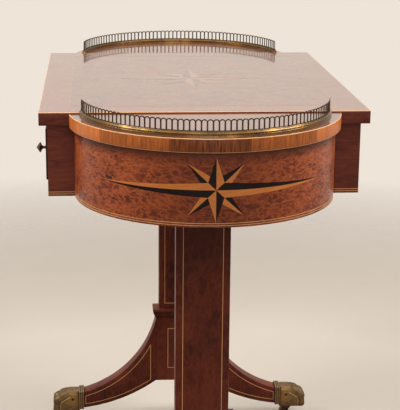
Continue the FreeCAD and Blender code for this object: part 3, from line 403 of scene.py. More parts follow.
def revolved(radius, run, origin, axis, across, steps):
    """Profile (radius r, run h) turned about an axis by angles a.

    Each point is origin + h axis + r (cos a across + sin a axis x across).
    """
    origin, axis, across = (np.asarray(value, float) for value in (origin, axis, across))
    turn = np.linspace(0, 2 * math.pi, steps, endpoint=False)
    spoke = np.cos(turn)[:, None] * across + np.sin(turn)[:, None] * np.cross(axis, across)
    return origin + np.asarray(run)[:, None, None] * axis + np.asarray(radius)[:, None, None] * spoke


def string(path, normal, closed, width):
    """String laid in along a path: a flat bar, mitred at the path's corners.

    Each point is offset by half the width along normal x direction, divided by the cosine of half the turn.
    """
    path, normal = np.asarray(path, float), np.asarray(normal, float)
    after = path[:1] if closed else 2 * path[-1:] - path[-2:-1]
    ahead = np.diff(path, axis=0, append=after)
    ahead /= np.linalg.norm(ahead, axis=1)[:, None]
    behind = np.roll(ahead, 1, axis=0)
    if not closed:
        behind[0] = ahead[0]
    side = np.cross(normal, ahead) + np.cross(normal, behind)
    side *= width / 2 / (np.linalg.norm(side, axis=1) ** 2 / 2)[:, None]
    high, low = normal * sizes().inlay_proud, -normal * sizes().inlay_depth
    rings = np.stack([path - side + low, path + side + low, path + side + high, path - side + high], 1)
    return grid(rings, along=closed, caps=not closed)


def star_halves(rise, reach, slant, notch, squat):
    """Corners (base, base edge, tip) of an eight-pointed star's half rays in its plane, dark and light.

    The four main rays meet at the middle and the notches; each slanting ray stands on the edges of two main
    rays. Squat is the rise of slants and notches as a share of their run, and feet are the shares of the
    edges of long and short main rays that a slanting ray covers.
    """
    feet = (0.06, 0.25)
    tips = np.array([(reach, 0), (0, rise), (-reach, 0), (0, -rise)])
    quarter = np.array([(1, 1), (-1, 1), (-1, -1), (1, -1)])
    notches = quarter * (notch, notch * squat)
    slants = quarter * (slant, slant * squat)
    middle = np.zeros(2)
    dark, light = [], []
    for k in range(4):
        dark.append((middle, notches[k], tips[k]))
        light.append((middle, notches[k - 1], tips[k]))
        for rays, tip, foot in ((dark, (k + 1) % 4, feet[(k + 1) % 2]), (light, k, feet[k % 2])):
            rays.append((notches[k], notches[k] + (tips[tip] - notches[k]) * foot, slants[k]))
    return np.array(dark), np.array(light)


def star_plates(halves, place, run_steps=25, width_steps=4):
    """Thin plates over half rays: P(s, w) = (1 - w) spine(s) + w edge(s), spine and edge running to the tip.

    Place maps flat coordinates and a height above the surface to points of the table.
    """
    blunt_tip = 0.998
    s = np.linspace(0, blunt_tip, run_steps)[None, :, None, None]
    w = np.linspace(0, 1, width_steps)[None, None, :, None]
    base, edge, tip = (halves[:, k][:, None, None] for k in range(3))
    flat = (1 - w) * (base + s * (tip - base)) + w * (edge + s * (tip - edge))
    skin = place(flat, sizes().inlay_proud)
    under = place(flat[:, :, ::-1], -sizes().inlay_depth)
    return np.concatenate([skin, under], 2)


def on_end_frieze(flat, height):
    """Flat (run along the curve, rise) onto the D frieze, at a height above its face."""
    rise = (FRIEZE_BOTTOM + FRIEZE_HIGH.z) / 2 + flat[..., 1]
    return on_arc(flat[..., 0], FRIEZE_RADIUS, FRIEZE_RADIUS + height, rise)


def on_centre_top(flat, height):
    """Flat (run across, run along) onto the centre top."""
    return np.stack([flat[..., 1], -flat[..., 0], np.full(flat.shape[:-1], TOP_HIGH.z + height)], -1)


def leg_circle(start, end, hollow):
    """Circle (y, z, radius) through two points of the leg's side view, sagging by hollow below the chord.

    Its radius is (chord^2 / 4 + hollow^2) / (2 hollow).
    """
    start, end = np.array(start), np.array(end)
    chord = np.linalg.norm(end - start)
    radius = (chord ** 2 / 4 + hollow ** 2) / (2 * hollow)
    along = (end - start) / chord
    up = np.array([-along[1], along[0]])
    centre = (start + end) / 2 + up * (radius - hollow)
    return centre[0], centre[1], radius


def leg_curve(circle, y_from, y_to, steps, inward=0.0):
    """Points (y, z) of the lower half of a leg circle between two y: (c + r sin a, c - r cos a)."""
    y, z, radius = circle
    radius = radius + inward
    turn = np.linspace(math.asin((y_from - y) / radius), math.asin((y_to - y) / radius), steps)
    return np.stack([y + radius * np.sin(turn), z - radius * np.cos(turn)], -1)


def slab_profile(low, high, edge, border, steps):
    """Edge of a top as (inset, height): quarter round below, upright face, quarter round above, flat border.

    The border has a narrow ring beside the round, so that the rest of it is shaded flat.
    """
    turn = np.linspace(0, QUARTER, steps)
    ring = edge + 0.4 * MM
    inset = np.concatenate([edge * (1 - np.sin(turn)), edge * (1 - np.cos(turn)), [ring, border]])
    height = np.concatenate([low + edge * (1 - np.cos(turn)), high - edge * (1 - np.sin(turn)), [high, high]])
    return inset, height


def darker(tint, share):
    """A share of a colour's strength."""
    return tuple(value * share for value in tint)


class Shading:
    """A shader node tree, with short ways to add the nodes that the finishes use."""

    def __init__(self, tree):
        self.tree = tree

    def put(self, value, socket):
        """Links a socket to an input, or sets the input's own value."""
        if isinstance(value, bpy.types.NodeSocket):
            self.tree.links.new(value, socket)
        else:
            socket.default_value = value

    def node(self, kind, inputs, **settings):
        """Adds a node with its settings; each input is a value or a socket to link."""
        made = self.tree.nodes.new(f"ShaderNode{kind}")
        for name, value in settings.items():
            setattr(made, name, value)
        for name, value in inputs.items():
            self.put(value, made.inputs[name])
        return made

    def group(self, name, **inputs):
        return self.node("Group", inputs, node_tree=bpy.data.node_groups[name]).outputs

    def maths(self, operation, first, second=0.0, clamp=False):
        return self.node("Math", {0: first, 1: second}, operation=operation, use_clamp=clamp).outputs[0]

    def times(self, first, second):
        return self.maths("MULTIPLY", first, second)

    def plus(self, first, second, clamp=False):
        return self.maths("ADD", first, second, clamp)

    def minus(self, first, second):
        return self.maths("SUBTRACT", first, second)

    def split(self, vector):
        return self.node("SeparateXYZ", {0: vector}).outputs

    def stretched(self, vector, *scale):
        """Coordinates multiplied by a scale along each axis."""
        return self.node("Mapping", {"Vector": vector, "Scale": scale}).outputs[0]

    def remap(self, value, low, high, to_low=0.0, to_high=1.0):
        return self.node("MapRange", {"Value": value, "From Min": low, "From Max": high,
                                      "To Min": to_low, "To Max": to_high}).outputs[0]

    def noise(self, vector, scale, detail=4.0, roughness=0.55, distortion=0.0, output=0):
        return self.node("TexNoise", {"Vector": vector, "Scale": scale, "Detail": detail,
                                      "Roughness": roughness, "Distortion": distortion}).outputs[output]

    def bump(self, height, strength, distance):
        return self.node("Bump", {"Height": height, "Strength": strength, "Distance": distance}).outputs[0]

    def blend(self, share, *pair):
        """Colour between two colours or colour sockets."""
        first, second = (tone if isinstance(tone, bpy.types.NodeSocket) else (*tone, 1.0) for tone in pair)
        return self.node("Mix", {0: share, 6: first, 7: second}, data_type="RGBA").outputs[2]

    def ramp(self, share, *stops):
        """Colour ramp from (place, colour) stops."""
        made = self.node("ValToRGB", {0: share})
        band = made.color_ramp.elements
        while len(band) < len(stops):
            band.new(0.5)
        for element, (place, tone) in zip(band, stops):
            element.position = place
            element.color = (*tone, 1.0)
        return made.outputs[0]

    def seen_rays(self):
        """1 for rays that show the stage, directly, mirrored or through glass, and 0 for its light."""
        rays = self.node("LightPath", {}).outputs
        seen = self.plus(rays["Is Camera Ray"], rays["Is Glossy Ray"], clamp=True)
        return self.plus(seen, rays["Is Transmission Ray"], clamp=True)


class Effect(Shading):
    """A shader group that reads a place and some numbers, and puts out masks and values."""

    def __init__(self, name, *numbers):
        super().__init__(bpy.data.node_groups.new(name, "ShaderNodeTree"))
        self.socket("Vector", "INPUT", "NodeSocketVector")
        for label in numbers:
            self.socket(label, "INPUT")
        self.given = list(self.tree.nodes.new("NodeGroupInput").outputs)[:len(numbers) + 1]

    def socket(self, label, way, kind="NodeSocketFloat"):
        self.tree.interface.new_socket(name=label, in_out=way, socket_type=kind)

    def give(self, **values):
        """Adds the group's outputs and links them."""
        for label in values:
            self.socket(label, "OUTPUT")
        ends = self.tree.nodes.new("NodeGroupOutput").inputs
        for label, value in values.items():
            self.put(value, ends[label])


class Finish(Shading):
    """A new material, with its Principled shader, its Object place and its UV run."""

    def __init__(self, name):
        made = bpy.data.materials.new(name)
        if made.name != name:
            raise ValueError(f"a material named {name} is already there")
        made.use_nodes = True
        super().__init__(made.node_tree)
        self.shader = self.tree.nodes["Principled BSDF"]
        coordinates = self.node("TexCoord", {}).outputs
        self.place, self.along = coordinates["Object"], coordinates["UV"]

    def surface(self, values):
        """Links or sets inputs of the shader."""
        for name, value in values.items():
            self.put(value, self.shader.inputs[name])

    def wood(self, tone, pores, gloss, relief):
        """Joins a wood's colour, polish and pores to its shader."""
        smooth, dull, specular, coat, coat_roughness = gloss
        polish = self.group("Hand polish", Vector=self.place, Smooth=smooth, Dull=dull)
        self.surface({"Base Color": tone, "Roughness": polish["Roughness"],
                      "Normal": self.bump(pores, 0.35, relief), "Specular IOR Level": specular,
                      "Coat Weight": coat, "Coat Roughness": coat_roughness})

    def metal(self, tone, skin, smooth, dull, relief):
        """Joins a metal's colour and skin to its shader: the skin is duller than the bare metal."""
        self.surface({"Base Color": tone, "Roughness": self.remap(skin["Skin"], 0.0, 1.0, smooth, dull),
                      "Metallic": self.remap(skin["Skin"], 0.0, 1.0, 1.0, 0.75),
                      "Normal": self.bump(skin["Height"], 0.4, relief)})

    def grain(self, vector, stretch, scale, wave):
        """Straight figure, mottle and pores, drawn out by the stretch."""
        return self.group("Wood figure", Vector=self.stretched(vector, *stretch), Scale=scale, Wave=wave)

    def burr(self, dark, middle, light, scale=85.0, threads=0.55, eyes=0.3, upright=2.0):
        """Burr figure: clouded ground, curled light threads, dark eyes and fine dark flecks."""
        figure = self.group("Burr figure", Vector=self.stretched(self.place, 1.0, 1.0, upright), Scale=scale)
        soft = tuple(0.6 * low + 0.4 * high for low, high in zip(middle, light))
        tone = self.ramp(figure["Cloud"], (0.08, dark), (0.5, middle), (0.92, soft))
        for part, share, tint in (("Threads", threads, light), ("Eyes", eyes, dark), ("Pores", 0.25, dark)):
            tone = self.blend(self.times(figure[part], share), tone, tint)
        return tone, figure["Pores"]


def build_effects():
    """Effects that several finishes share: wood figure, burr, hand polish and the skin of old metal."""
    wood = Effect("Wood figure", "Scale", "Wave")
    place, scale, wave = wood.given
    figure = wood.noise(place, scale, 5.0, 0.62, wave)
    mottle = wood.noise(place, wood.times(scale, 0.2), 2.0)
    pores = wood.noise(place, wood.times(scale, 9.0), 3.0, 0.7)
    wood.give(Figure=wood.remap(figure, 0.3, 0.7), Mottle=wood.remap(mottle, 0.3, 0.7),
              Pores=wood.remap(pores, 0.35, 0.65))

    burr = Effect("Burr figure", "Scale")
    place, scale = burr.given
    drift = burr.noise(place, burr.times(scale, 0.5), 2.0, 0.5, output="Color")
    swing = burr.maths("DIVIDE", 1.6, scale)
    moved = burr.node("VectorMath", {0: drift, "Scale": swing}, operation="SCALE").outputs[0]
    bent = burr.node("VectorMath", {0: place, 1: moved}, operation="ADD").outputs[0]
    away = burr.maths("ABSOLUTE", burr.minus(burr.noise(bent, scale, 2.0, 0.5), 0.5))
    spots = burr.node("TexVoronoi", {"Vector": bent, "Scale": burr.times(scale, 1.1)}).outputs[0]
    cloud = burr.noise(bent, burr.times(scale, 0.3), 4.0, 0.58)
    pores = burr.noise(place, burr.times(scale, 7.0), 2.0, 0.6)
    burr.give(Cloud=burr.remap(cloud, 0.26, 0.74), Threads=burr.remap(away, 0.0, 0.1, 1.0, 0.0),
              Eyes=burr.remap(spots, 0.12, 0.34, 1.0, 0.0), Pores=burr.remap(pores, 0.35, 0.65))

    polish = Effect("Hand polish", "Smooth", "Dull")
    place, smooth, dull = polish.given
    cloth = polish.remap(polish.noise(place, 18.0, 4.0, 0.6), 0.3, 0.7)
    polish.give(Roughness=polish.plus(smooth, polish.times(cloth, polish.minus(dull, smooth))))

    metal = Effect("Metal skin", "Scale", "Rubbed")
    place, scale, rubbed = metal.given
    fine = metal.noise(place, metal.times(scale, 7.0), 3.0, 0.6)
    speckle = metal.times(metal.minus(fine, 0.5), 0.35)
    skin = metal.minus(metal.plus(metal.noise(place, scale, 5.0, 0.6), speckle), rubbed)
    metal.give(Skin=metal.remap(skin, -0.16, 0.2), Height=fine)


def top_finish(tints):
    """Burr of the tops under a thick clear polish that fills its pores."""
    veneer = Finish("top_veneer")
    tone, pores = veneer.burr(tints.top_dark, tints.top_middle, tints.top_light)
    veneer.wood(tone, pores, TOP_GLOSS, FILLED)


def frieze_finish(tints):
    """Burr of the curved friezes, with painted shade half way round each end and a painted shadow close under
    the tops.
    """
    veneer = Finish("frieze_burr")
    tone, pores = veneer.burr(tints.burr_dark, tints.burr_middle, tints.burr_light, threads=0.75)
    _, y, z = veneer.split(veneer.place)
    # Painted shade: the burr darkens half way round each end, where the front faces away from the side
    # lights.
    painted_front_shade = veneer.remap(veneer.maths("ABSOLUTE", y), 30 * MM, 130 * MM, 0.5, 0.0)
    # Painted shadow: the burr darkens over its top 18 mm, close under the overhanging D top.
    under = veneer.remap(z, FRIEZE_HIGH.z - 18 * MM, FRIEZE_HIGH.z, 0.0, 0.95)
    for shade in (painted_front_shade, under):
        tone = veneer.blend(shade, tone, tints.burr_dark)
    veneer.wood(tone, pores, FRIEZE_GLOSS, FINE)


def pillar_finish(tints):
    """Dark burr of the pillars, with its figure drawn out upright and a painted shadow, darkest under the
    friezes.
    """
    veneer = Finish("pillar_veneer")
    tone, pores = veneer.burr(tints.dark_low, tints.dark_middle, tints.dark_high, 80.0, 0.3, 0.3, 0.5)
    # Painted shadow: the veneer darkens over the top 140 mm of each pillar, under the frieze.
    under = veneer.remap(veneer.split(veneer.place)[2], FRIEZE_LOW.z - 140 * MM, FRIEZE_LOW.z, 0.0, 0.85)
    veneer.wood(veneer.blend(under, tone, tints.dark_low), pores, PILLAR_GLOSS, OPEN)


def rail_finish(tints):
    """Veneer with level grain: figure stretched along the rails."""
    veneer = Finish("rail_veneer")
    figure = veneer.grain(veneer.place, (0.22, 0.22, 1.0), 190.0, 0.8)
    cloud = veneer.plus(veneer.times(figure["Figure"], 0.6), veneer.times(figure["Mottle"], 0.4))
    tone = veneer.ramp(cloud, (0.1, tints.rail_low), (0.95, tints.rail_high))
    veneer.wood(tone, figure["Pores"], PILLAR_GLOSS, OPEN)


def crossband_finish(name, gloss, low, high, half_run, leaf_and_painted_shade):
    """Grain across the band, along V, in leaves along U that are darkest half way along the band's run:
    partly the leaves' own tone, partly painted shade.
    """
    leaf_width, leaf_middle = 115 * MM, 60 * MM
    veneer = Finish(name)
    figure = veneer.grain(veneer.along, (1.0, 0.1, 1.0), 330.0, 0.4)
    # Leaf tone darkest half way along the run: part the veneer's own tone, part painted shade on the middles
    # of the D edges.
    leaf = veneer.maths("SNAP", veneer.split(veneer.along)[0], leaf_width)
    away = veneer.maths("ABSOLUTE", veneer.minus(leaf, half_run - leaf_middle))
    shade = veneer.times(veneer.maths("DIVIDE", away, half_run), leaf_and_painted_shade)
    mix = veneer.plus(veneer.times(figure["Figure"], 0.95 - leaf_and_painted_shade), shade)
    veneer.wood(veneer.ramp(mix, (0.1, low), (0.9, high)), figure["Pores"], gloss, FILLED)


def inlay_finish(name, tint, depth, gloss):
    """Plain straight-grained inlay wood, a little darker along its grain."""
    inlay = Finish(name)
    figure = inlay.grain(inlay.along, (1.0, 0.1, 1.0), 420.0, 0.3)
    tone = inlay.blend(inlay.times(figure["Figure"], 0.8), tint, darker(tint, depth))
    inlay.wood(tone, figure["Pores"], gloss, INLAID)


def lining_finish(tint):
    """Quartered lining wood: long grain with dark pores."""
    lining = Finish("lining_wood")
    figure = lining.grain(lining.place, (1.0, 0.12, 1.0), 120.0, 0.6)
    tone = lining.blend(lining.times(figure["Figure"], 0.75), tint, darker(tint, 0.5))
    tone = lining.blend(lining.remap(figure["Pores"], 0.7, 1.0, 0.0, 0.5), tone, darker(tint, 0.3))
    lining.wood(tone, figure["Pores"], PLAIN_GLOSS, RAW)


def drawer_front_finish(tints):
    """Burr on the show face of the drawer front, and its darker core behind the veneer."""
    veneer = Finish("drawer_front_veneer")
    tone, pores = veneer.burr(tints.burr_dark, tints.burr_middle, tints.burr_light)
    behind = veneer.maths("GREATER_THAN", veneer.split(veneer.place)[1], FRONT_LOW.y + 1.0 * MM)
    veneer.wood(veneer.blend(behind, tone, darker(tints.lining, 0.45)), pores, FRIEZE_GLOSS, OPEN)


def metal_finish(name, bright, skin_colour, scale, rubbed, smooth, dull, relief):
    """Metal under a brown skin that is rubbed through in places; relief is in millimetres."""
    metal = Finish(name)
    skin = metal.group("Metal skin", Vector=metal.place, Scale=scale, Rubbed=rubbed)
    metal.metal(metal.blend(skin["Skin"], bright, skin_colour), skin, smooth, dull, relief * MM)


def paw_finish(tints):
    """Brown skin, golden round the pin, pale on worn ridges and dark in hollows."""
    metal = Finish("paw_brass")
    skin = metal.group("Metal skin", Vector=metal.place, Scale=120.0, Rubbed=0.46)
    worn = metal.node("Attribute", {}, attribute_name="worn").outputs["Fac"]
    _, y, z = metal.split(metal.place)
    aside = metal.minus(metal.maths("ABSOLUTE", y), PIN_Y)
    above = metal.minus(z, PIN_Z)
    away = metal.maths("SQRT", metal.plus(metal.times(aside, aside), metal.times(above, above)))
    tone = metal.blend(skin["Skin"], tints.paw_light, tints.paw_dark)
    tone = metal.blend(metal.remap(away, 4 * MM, 19 * MM, 0.9, 0.0), tone, tints.brass)
    tone = metal.blend(metal.remap(worn, 0.55, 1.0, 0.0, 0.75), tone, tints.paw_ridge)
    tone = metal.blend(metal.remap(worn, 0.45, 0.0, 0.0, 0.9), tone, tints.deep_patina)
    metal.metal(tone, skin, 0.36, 0.5, 0.12 * MM)


class WRITINGTABLE_OT_finishes(bpy.types.Operator):
    """Build the woods, inlays and metals"""

    bl_idname = "writing_table.finishes"
    bl_label = "Finishes"

    def execute(self, context):
        tints = finishes()
        build_effects()
        for finish in (top_finish, frieze_finish, pillar_finish, rail_finish, drawer_front_finish,
                       paw_finish):
            finish(tints)
        lining_finish(tints.lining)
        end_run = END_RADIUS * math.acos((END_LOW.x - END_CENTRE) / END_RADIUS)
        top_run = TOP_HIGH.x + TOP_HIGH.y
        # The D edges take a strong share of this painted shade half way round.
        crossband_finish("crossbanding", FRIEZE_GLOSS, tints.band_low, tints.band_high, end_run, 0.6)
        crossband_finish("top_crossbanding", TOP_GLOSS, tints.top_dark, tints.top_light, top_run, 0.1)
        inlay_finish("boxwood", tints.boxwood, 0.7, FRIEZE_GLOSS)
        inlay_finish("rim_boxwood", tints.rim, 0.8, FRIEZE_GLOSS)
        inlay_finish("satinwood", tints.satinwood, 0.6, FRIEZE_GLOSS)
        inlay_finish("ebony", tints.ebony, 0.5, PILLAR_GLOSS)
        inlay_finish("top_satinwood", tints.top_light_inlay, 0.8, TOP_GLOSS)
        inlay_finish("top_ebony", tints.top_dark_inlay, 0.7, TOP_GLOSS)
        metal_finish("gallery_brass", tints.brass, tints.patina, 45.0, 0.5, 0.18, 0.32, 0.03)
        metal_finish("arch_brass", tints.arch, tints.deep_patina, 200.0, 0.42, 0.36, 0.55, 0.05)
        metal_finish("knob_brass", tints.dull_brass, tints.deep_patina, 160.0, 0.42, 0.28, 0.5, 0.05)
        metal_finish("castor_brass", tints.patina, tints.deep_patina, 140.0, 0.36, 0.24, 0.4, 0.1)
        metal_finish("wheel_brass_worn", tints.dull_brass, tints.patina, 110.0, 0.5, 0.26, 0.42, 0.1)
        metal_finish("pin_skin", tints.patina, tints.deep_patina, 200.0, 0.4, 0.5, 0.7, 0.1)
        metal_finish("dull_steel", tints.steel, darker(tints.steel, 0.35), 90.0, 0.5, 0.3, 0.6, 0.1)
        return {"FINISHED"}


class WRITINGTABLE_OT_tops(bpy.types.Operator):
    """Build the centre top and the two D tops with their crossbanding, the D tops' strung arrises and the
    centre top's arris of painted highlight and wear
    """

    bl_idname = "writing_table.tops"
    bl_label = "Tops"
    corner: size("Corner", "Radius of the centre top's upright corners", 1)

    def execute(self, context):
        lengths = sizes()
        steps = 4
        woods = "top_veneer top_crossbanding lining_wood rail_veneer crossbanding rim_boxwood boxwood"
        veneer, border, wood, edge, band, box, worn = range(7)
        inset, height = slab_profile(TOP_LOW.z, TOP_HIGH.z, lengths.edge_round, lengths.border, steps)
        outline = rounded_rectangle(TOP_HIGH.x - inset, TOP_HIGH.y - inset, self.corner)
        # Painted highlight and wear: the centre top's upper arris takes the pale boxwood colour.
        rows = np.array([edge] * steps + [worn] * (steps - 1) + [border] * 2)[:, None]
        slab = grid(stacked(outline, height), finish=rows, cap_finish=(wood, veneer))
        piece("centre_top_veneer", [slab], woods, "centre_top")

        inset, height = slab_profile(END_LOW.z, END_HIGH.z, lengths.edge_round, lengths.end_border, steps)
        outline = end_outline(END_RADIUS - inset, END_LOW.x)
        rows = np.array([box] * (steps - 1) + [band] + [box] * (steps - 1) + [border] * 2)[:, None]
        for name, side in SIDES.items():
            slab = grid(at_side(stacked(outline, height), side), finish=rows, cap_finish=(wood, veneer))
            piece(f"{name}_end_top_veneer", [slab], woods, f"{name}_end_top")
        return {"FINISHED"}


class WRITINGTABLE_OT_end_friezes(bpy.types.Operator):
    """Build the curved friezes of the D ends"""

    bl_idname = "writing_table.end_friezes"
    bl_label = "End friezes"
    thickness: size("Thickness", "Thickness of the curved friezes", 20)
    edge: size("Lower edge", "Radius of the friezes' lower edge", 0.8)

    def execute(self, context):
        outer, inner = FRIEZE_RADIUS, FRIEZE_RADIUS - self.thickness
        low, high = FRIEZE_LOW.z, FRIEZE_HIGH.z
        turn = np.linspace(0, QUARTER, 4)
        radius = np.concatenate([[inner], outer - self.edge * (1 - np.sin(turn)), [outer, inner]])
        height = np.concatenate([[low], low + self.edge * (1 - np.cos(turn)), [high, high]])
        burr, wood = 0, 1
        columns = np.array([[wood] + [burr] * 4 + [wood] * 2])
        for name, side in SIDES.items():
            rings = at_side(end_sweep(radius, height, FRIEZE_LOW.x), side)
            skin = grid(rings, finish=columns, cap_finish=(wood, wood))
            piece(f"{name}_end_frieze_veneer", [skin], "frieze_burr lining_wood",
                  f"{name}_end_frieze")
        return {"FINISHED"}


class WRITINGTABLE_OT_carcass(bpy.types.Operator):
    """Finish the flat rails, runners and hidden carcass wood"""

    bl_idname = "writing_table.carcass"
    bl_label = "Carcass"

    def execute(self, context):
        dress("rail_veneer", "right_end_rail", "left_end_rail", "back_rail", "drawer_lower_rail",
              "drawer_upper_rail", "drawer_stiles")
        dress("lining_wood", "right_runner", "left_runner", "drawer_guides", "drawer_kickers", "drawer_stops",
              "end_battens", "frieze_blocks")
        dress("dull_steel", "top_screws", "foot_pins")
        return {"FINISHED"}


class WRITINGTABLE_OT_strings(bpy.types.Operator):
    """Lay the strings of friezes and top"""

    bl_idname = "writing_table.strings"
    bl_label = "Frieze strings"

    def execute(self, context):
        lengths = sizes()
        width = lengths.string_width
        levels = [FRIEZE_BOTTOM + rise for rise in (lengths.string_low, lengths.string_high)]
        inside, outside = FRIEZE_RADIUS - lengths.inlay_depth, FRIEZE_RADIUS + lengths.inlay_proud
        radius = np.array([inside, outside, outside, inside])
        bar = width / 2 * np.array([-1, -1, 1, 1])
        for name, side in SIDES.items():
            bars = [grid(at_side(end_sweep(radius, level + bar, FRIEZE_LOW.x), side)) for level in levels]
            piece(f"{name}_end_frieze_strings", bars, "boxwood")
        x, y = RAIL_HIGH.x, RAIL_HIGH.y
        inner = math.sqrt(FRIEZE_RADIUS ** 2 - (FRIEZE_LOW.x - END_CENTRE) ** 2)
        parts = []
        for level in levels:
            for side in FACES:
                for depth in FACES:
                    run = [(side * x, depth * inner, level), (side * x, depth * y, level)]
                    parts.append(string(run, (side, 0, 0), False, width))
                run = [(-x, side * y, level), (x, side * y, level)]
                parts.append(string(run, (0, side, 0), False, width))
        piece("centre_frieze_strings", parts, "boxwood")
        corner = rounded_rectangle(TOP_HIGH.x - lengths.border, TOP_HIGH.y - lengths.border, 0.0, 1)
        path = np.concatenate([corner, np.full((4, 1), TOP_HIGH.z)], 1)
        piece("centre_top_string", [string(path, (0, 0, 1), True, width)], "top_satinwood")
        return {"FINISHED"}


class WRITINGTABLE_OT_stars(bpy.types.Operator):
    """Lay the eight-pointed stars of the D friezes and of the top"""

    bl_idname = "writing_table.stars"
    bl_label = "Stars"
    squat: amount("Squat", "Rise of the frieze star's slanting rays as a share of their run", 0.94,
                  max=1.0, subtype="FACTOR")

    def execute(self, context):
        lengths = sizes()
        halves = star_halves(lengths.star_rise, lengths.star_reach, lengths.star_slant, lengths.star_notch,
                             self.squat)
        for name, side in SIDES.items():
            for wood, rays in zip(("ebony", "satinwood"), halves):
                plates = at_side(star_plates(rays, on_end_frieze), side)
                piece(f"{name}_frieze_star_{wood}", [grid(plates)], wood)
        halves = star_halves(lengths.top_star_rise, lengths.top_star_reach, lengths.top_star_slant,
                             lengths.top_star_notch, 1.0)
        for wood, rays in zip(("ebony", "satinwood"), halves):
            plates = star_plates(rays, on_centre_top)
            piece(f"top_star_{wood}", [grid(plates)], f"top_{wood}")
        return {"FINISHED"}


class WRITINGTABLE_OT_galleries(bpy.types.Operator):
    """Build the brass galleries: moulded rail, pierced arcade of round-headed arches"""

    bl_idname = "writing_table.galleries"
    bl_label = "Galleries"
    thin: size("Sheet", "Half thickness of the arcade's sheet", 0.6)
    band: size("Arch", "Width of the arches' heads", 1.8)

    def moulding(self):
        """Rail section, alike on both sides, carried round the end: fillet, hollow, round, upper fillet."""
        offset = np.array([3.5, 3.5, 3.1, 2.8, 3.2, 3.4, 3.2, 2.6, 1.9, 1.7, 1.7, 1.4]) * MM
        rise = np.array([0.0, 1.5, 1.8, 2.1, 2.7, 3.5, 4.3, 4.9, 5.3, 5.6, 6.7, 7.0]) * MM
        radius = GALLERY_RADIUS - offset.max() + np.concatenate([offset, -offset[::-1]])
        return end_sweep(radius, GALLERY_LOW.z + np.concatenate([rise, rise[::-1]]), GALLERY_LOW.x)

    def arcade(self):
        """Slats at every pitch, half-round heads that join them, and the sill that carries them."""
        pitch, slat = sizes().gallery_pitch, sizes().gallery_slat
        round_edge, lap, overlap, sunk = 0.3 * MM, 0.25 * MM, 0.15 * MM, 2 * MM
        middle = ARCADE_RADIUS - self.thin
        half_turn = math.acos((GALLERY_LOW.x - END_CENTRE) / middle)
        count = int((2 * half_turn * middle - slat) / pitch)
        head_z = ARCADE_HIGH.z - pitch / 2 - lap
        sill_z = GALLERY_HIGH.z + 1.0 * MM
        section = rounded_rectangle(slat / 2, self.thin, round_edge, 2)
        feet = (np.arange(count + 1) - count / 2)[:, None, None] * pitch
        ends = np.array([sill_z - sunk, head_z])[:, None]
        slats = on_arc(feet + section[:, 0], middle, middle + section[:, 1], ends)

        section = rounded_rectangle(self.band / 2, self.thin * 0.95, round_edge, 2)
        crowns = (np.arange(count) - (count - 1) / 2)[:, None, None] * pitch
        turn = np.linspace(0, math.pi, 9)[:, None]
        run = crowns + (pitch / 2 - overlap + section[:, 0]) * np.cos(turn)
        level = head_z + (pitch / 2 + lap - self.band / 2 + section[:, 0]) * np.sin(turn)
        heads = on_arc(run, middle, middle + section[:, 1], level)

        sill_low = GALLERY_LOW.z + 4 * MM
        sill = end_sweep(middle + self.thin * np.array([-1, 1, 1, -1]),
                         np.array([sill_low, sill_low, sill_z, sill_z]), GALLERY_LOW.x)
        return slats, heads, sill

    def execute(self, context):
        rail, arcade = self.moulding(), self.arcade()
        for name, side in SIDES.items():
            piece(f"{name}_gallery_moulding", [grid(at_side(rail, side))], "gallery_brass",
                  f"{name}_gallery_rail", crease=30.0)
            parts = [grid(at_side(rings, side)) for rings in arcade]
            piece(f"{name}_gallery_arches", parts, "arch_brass", f"{name}_gallery_arcade")
        dress("gallery_brass", "gallery_pins")
        return {"FINISHED"}


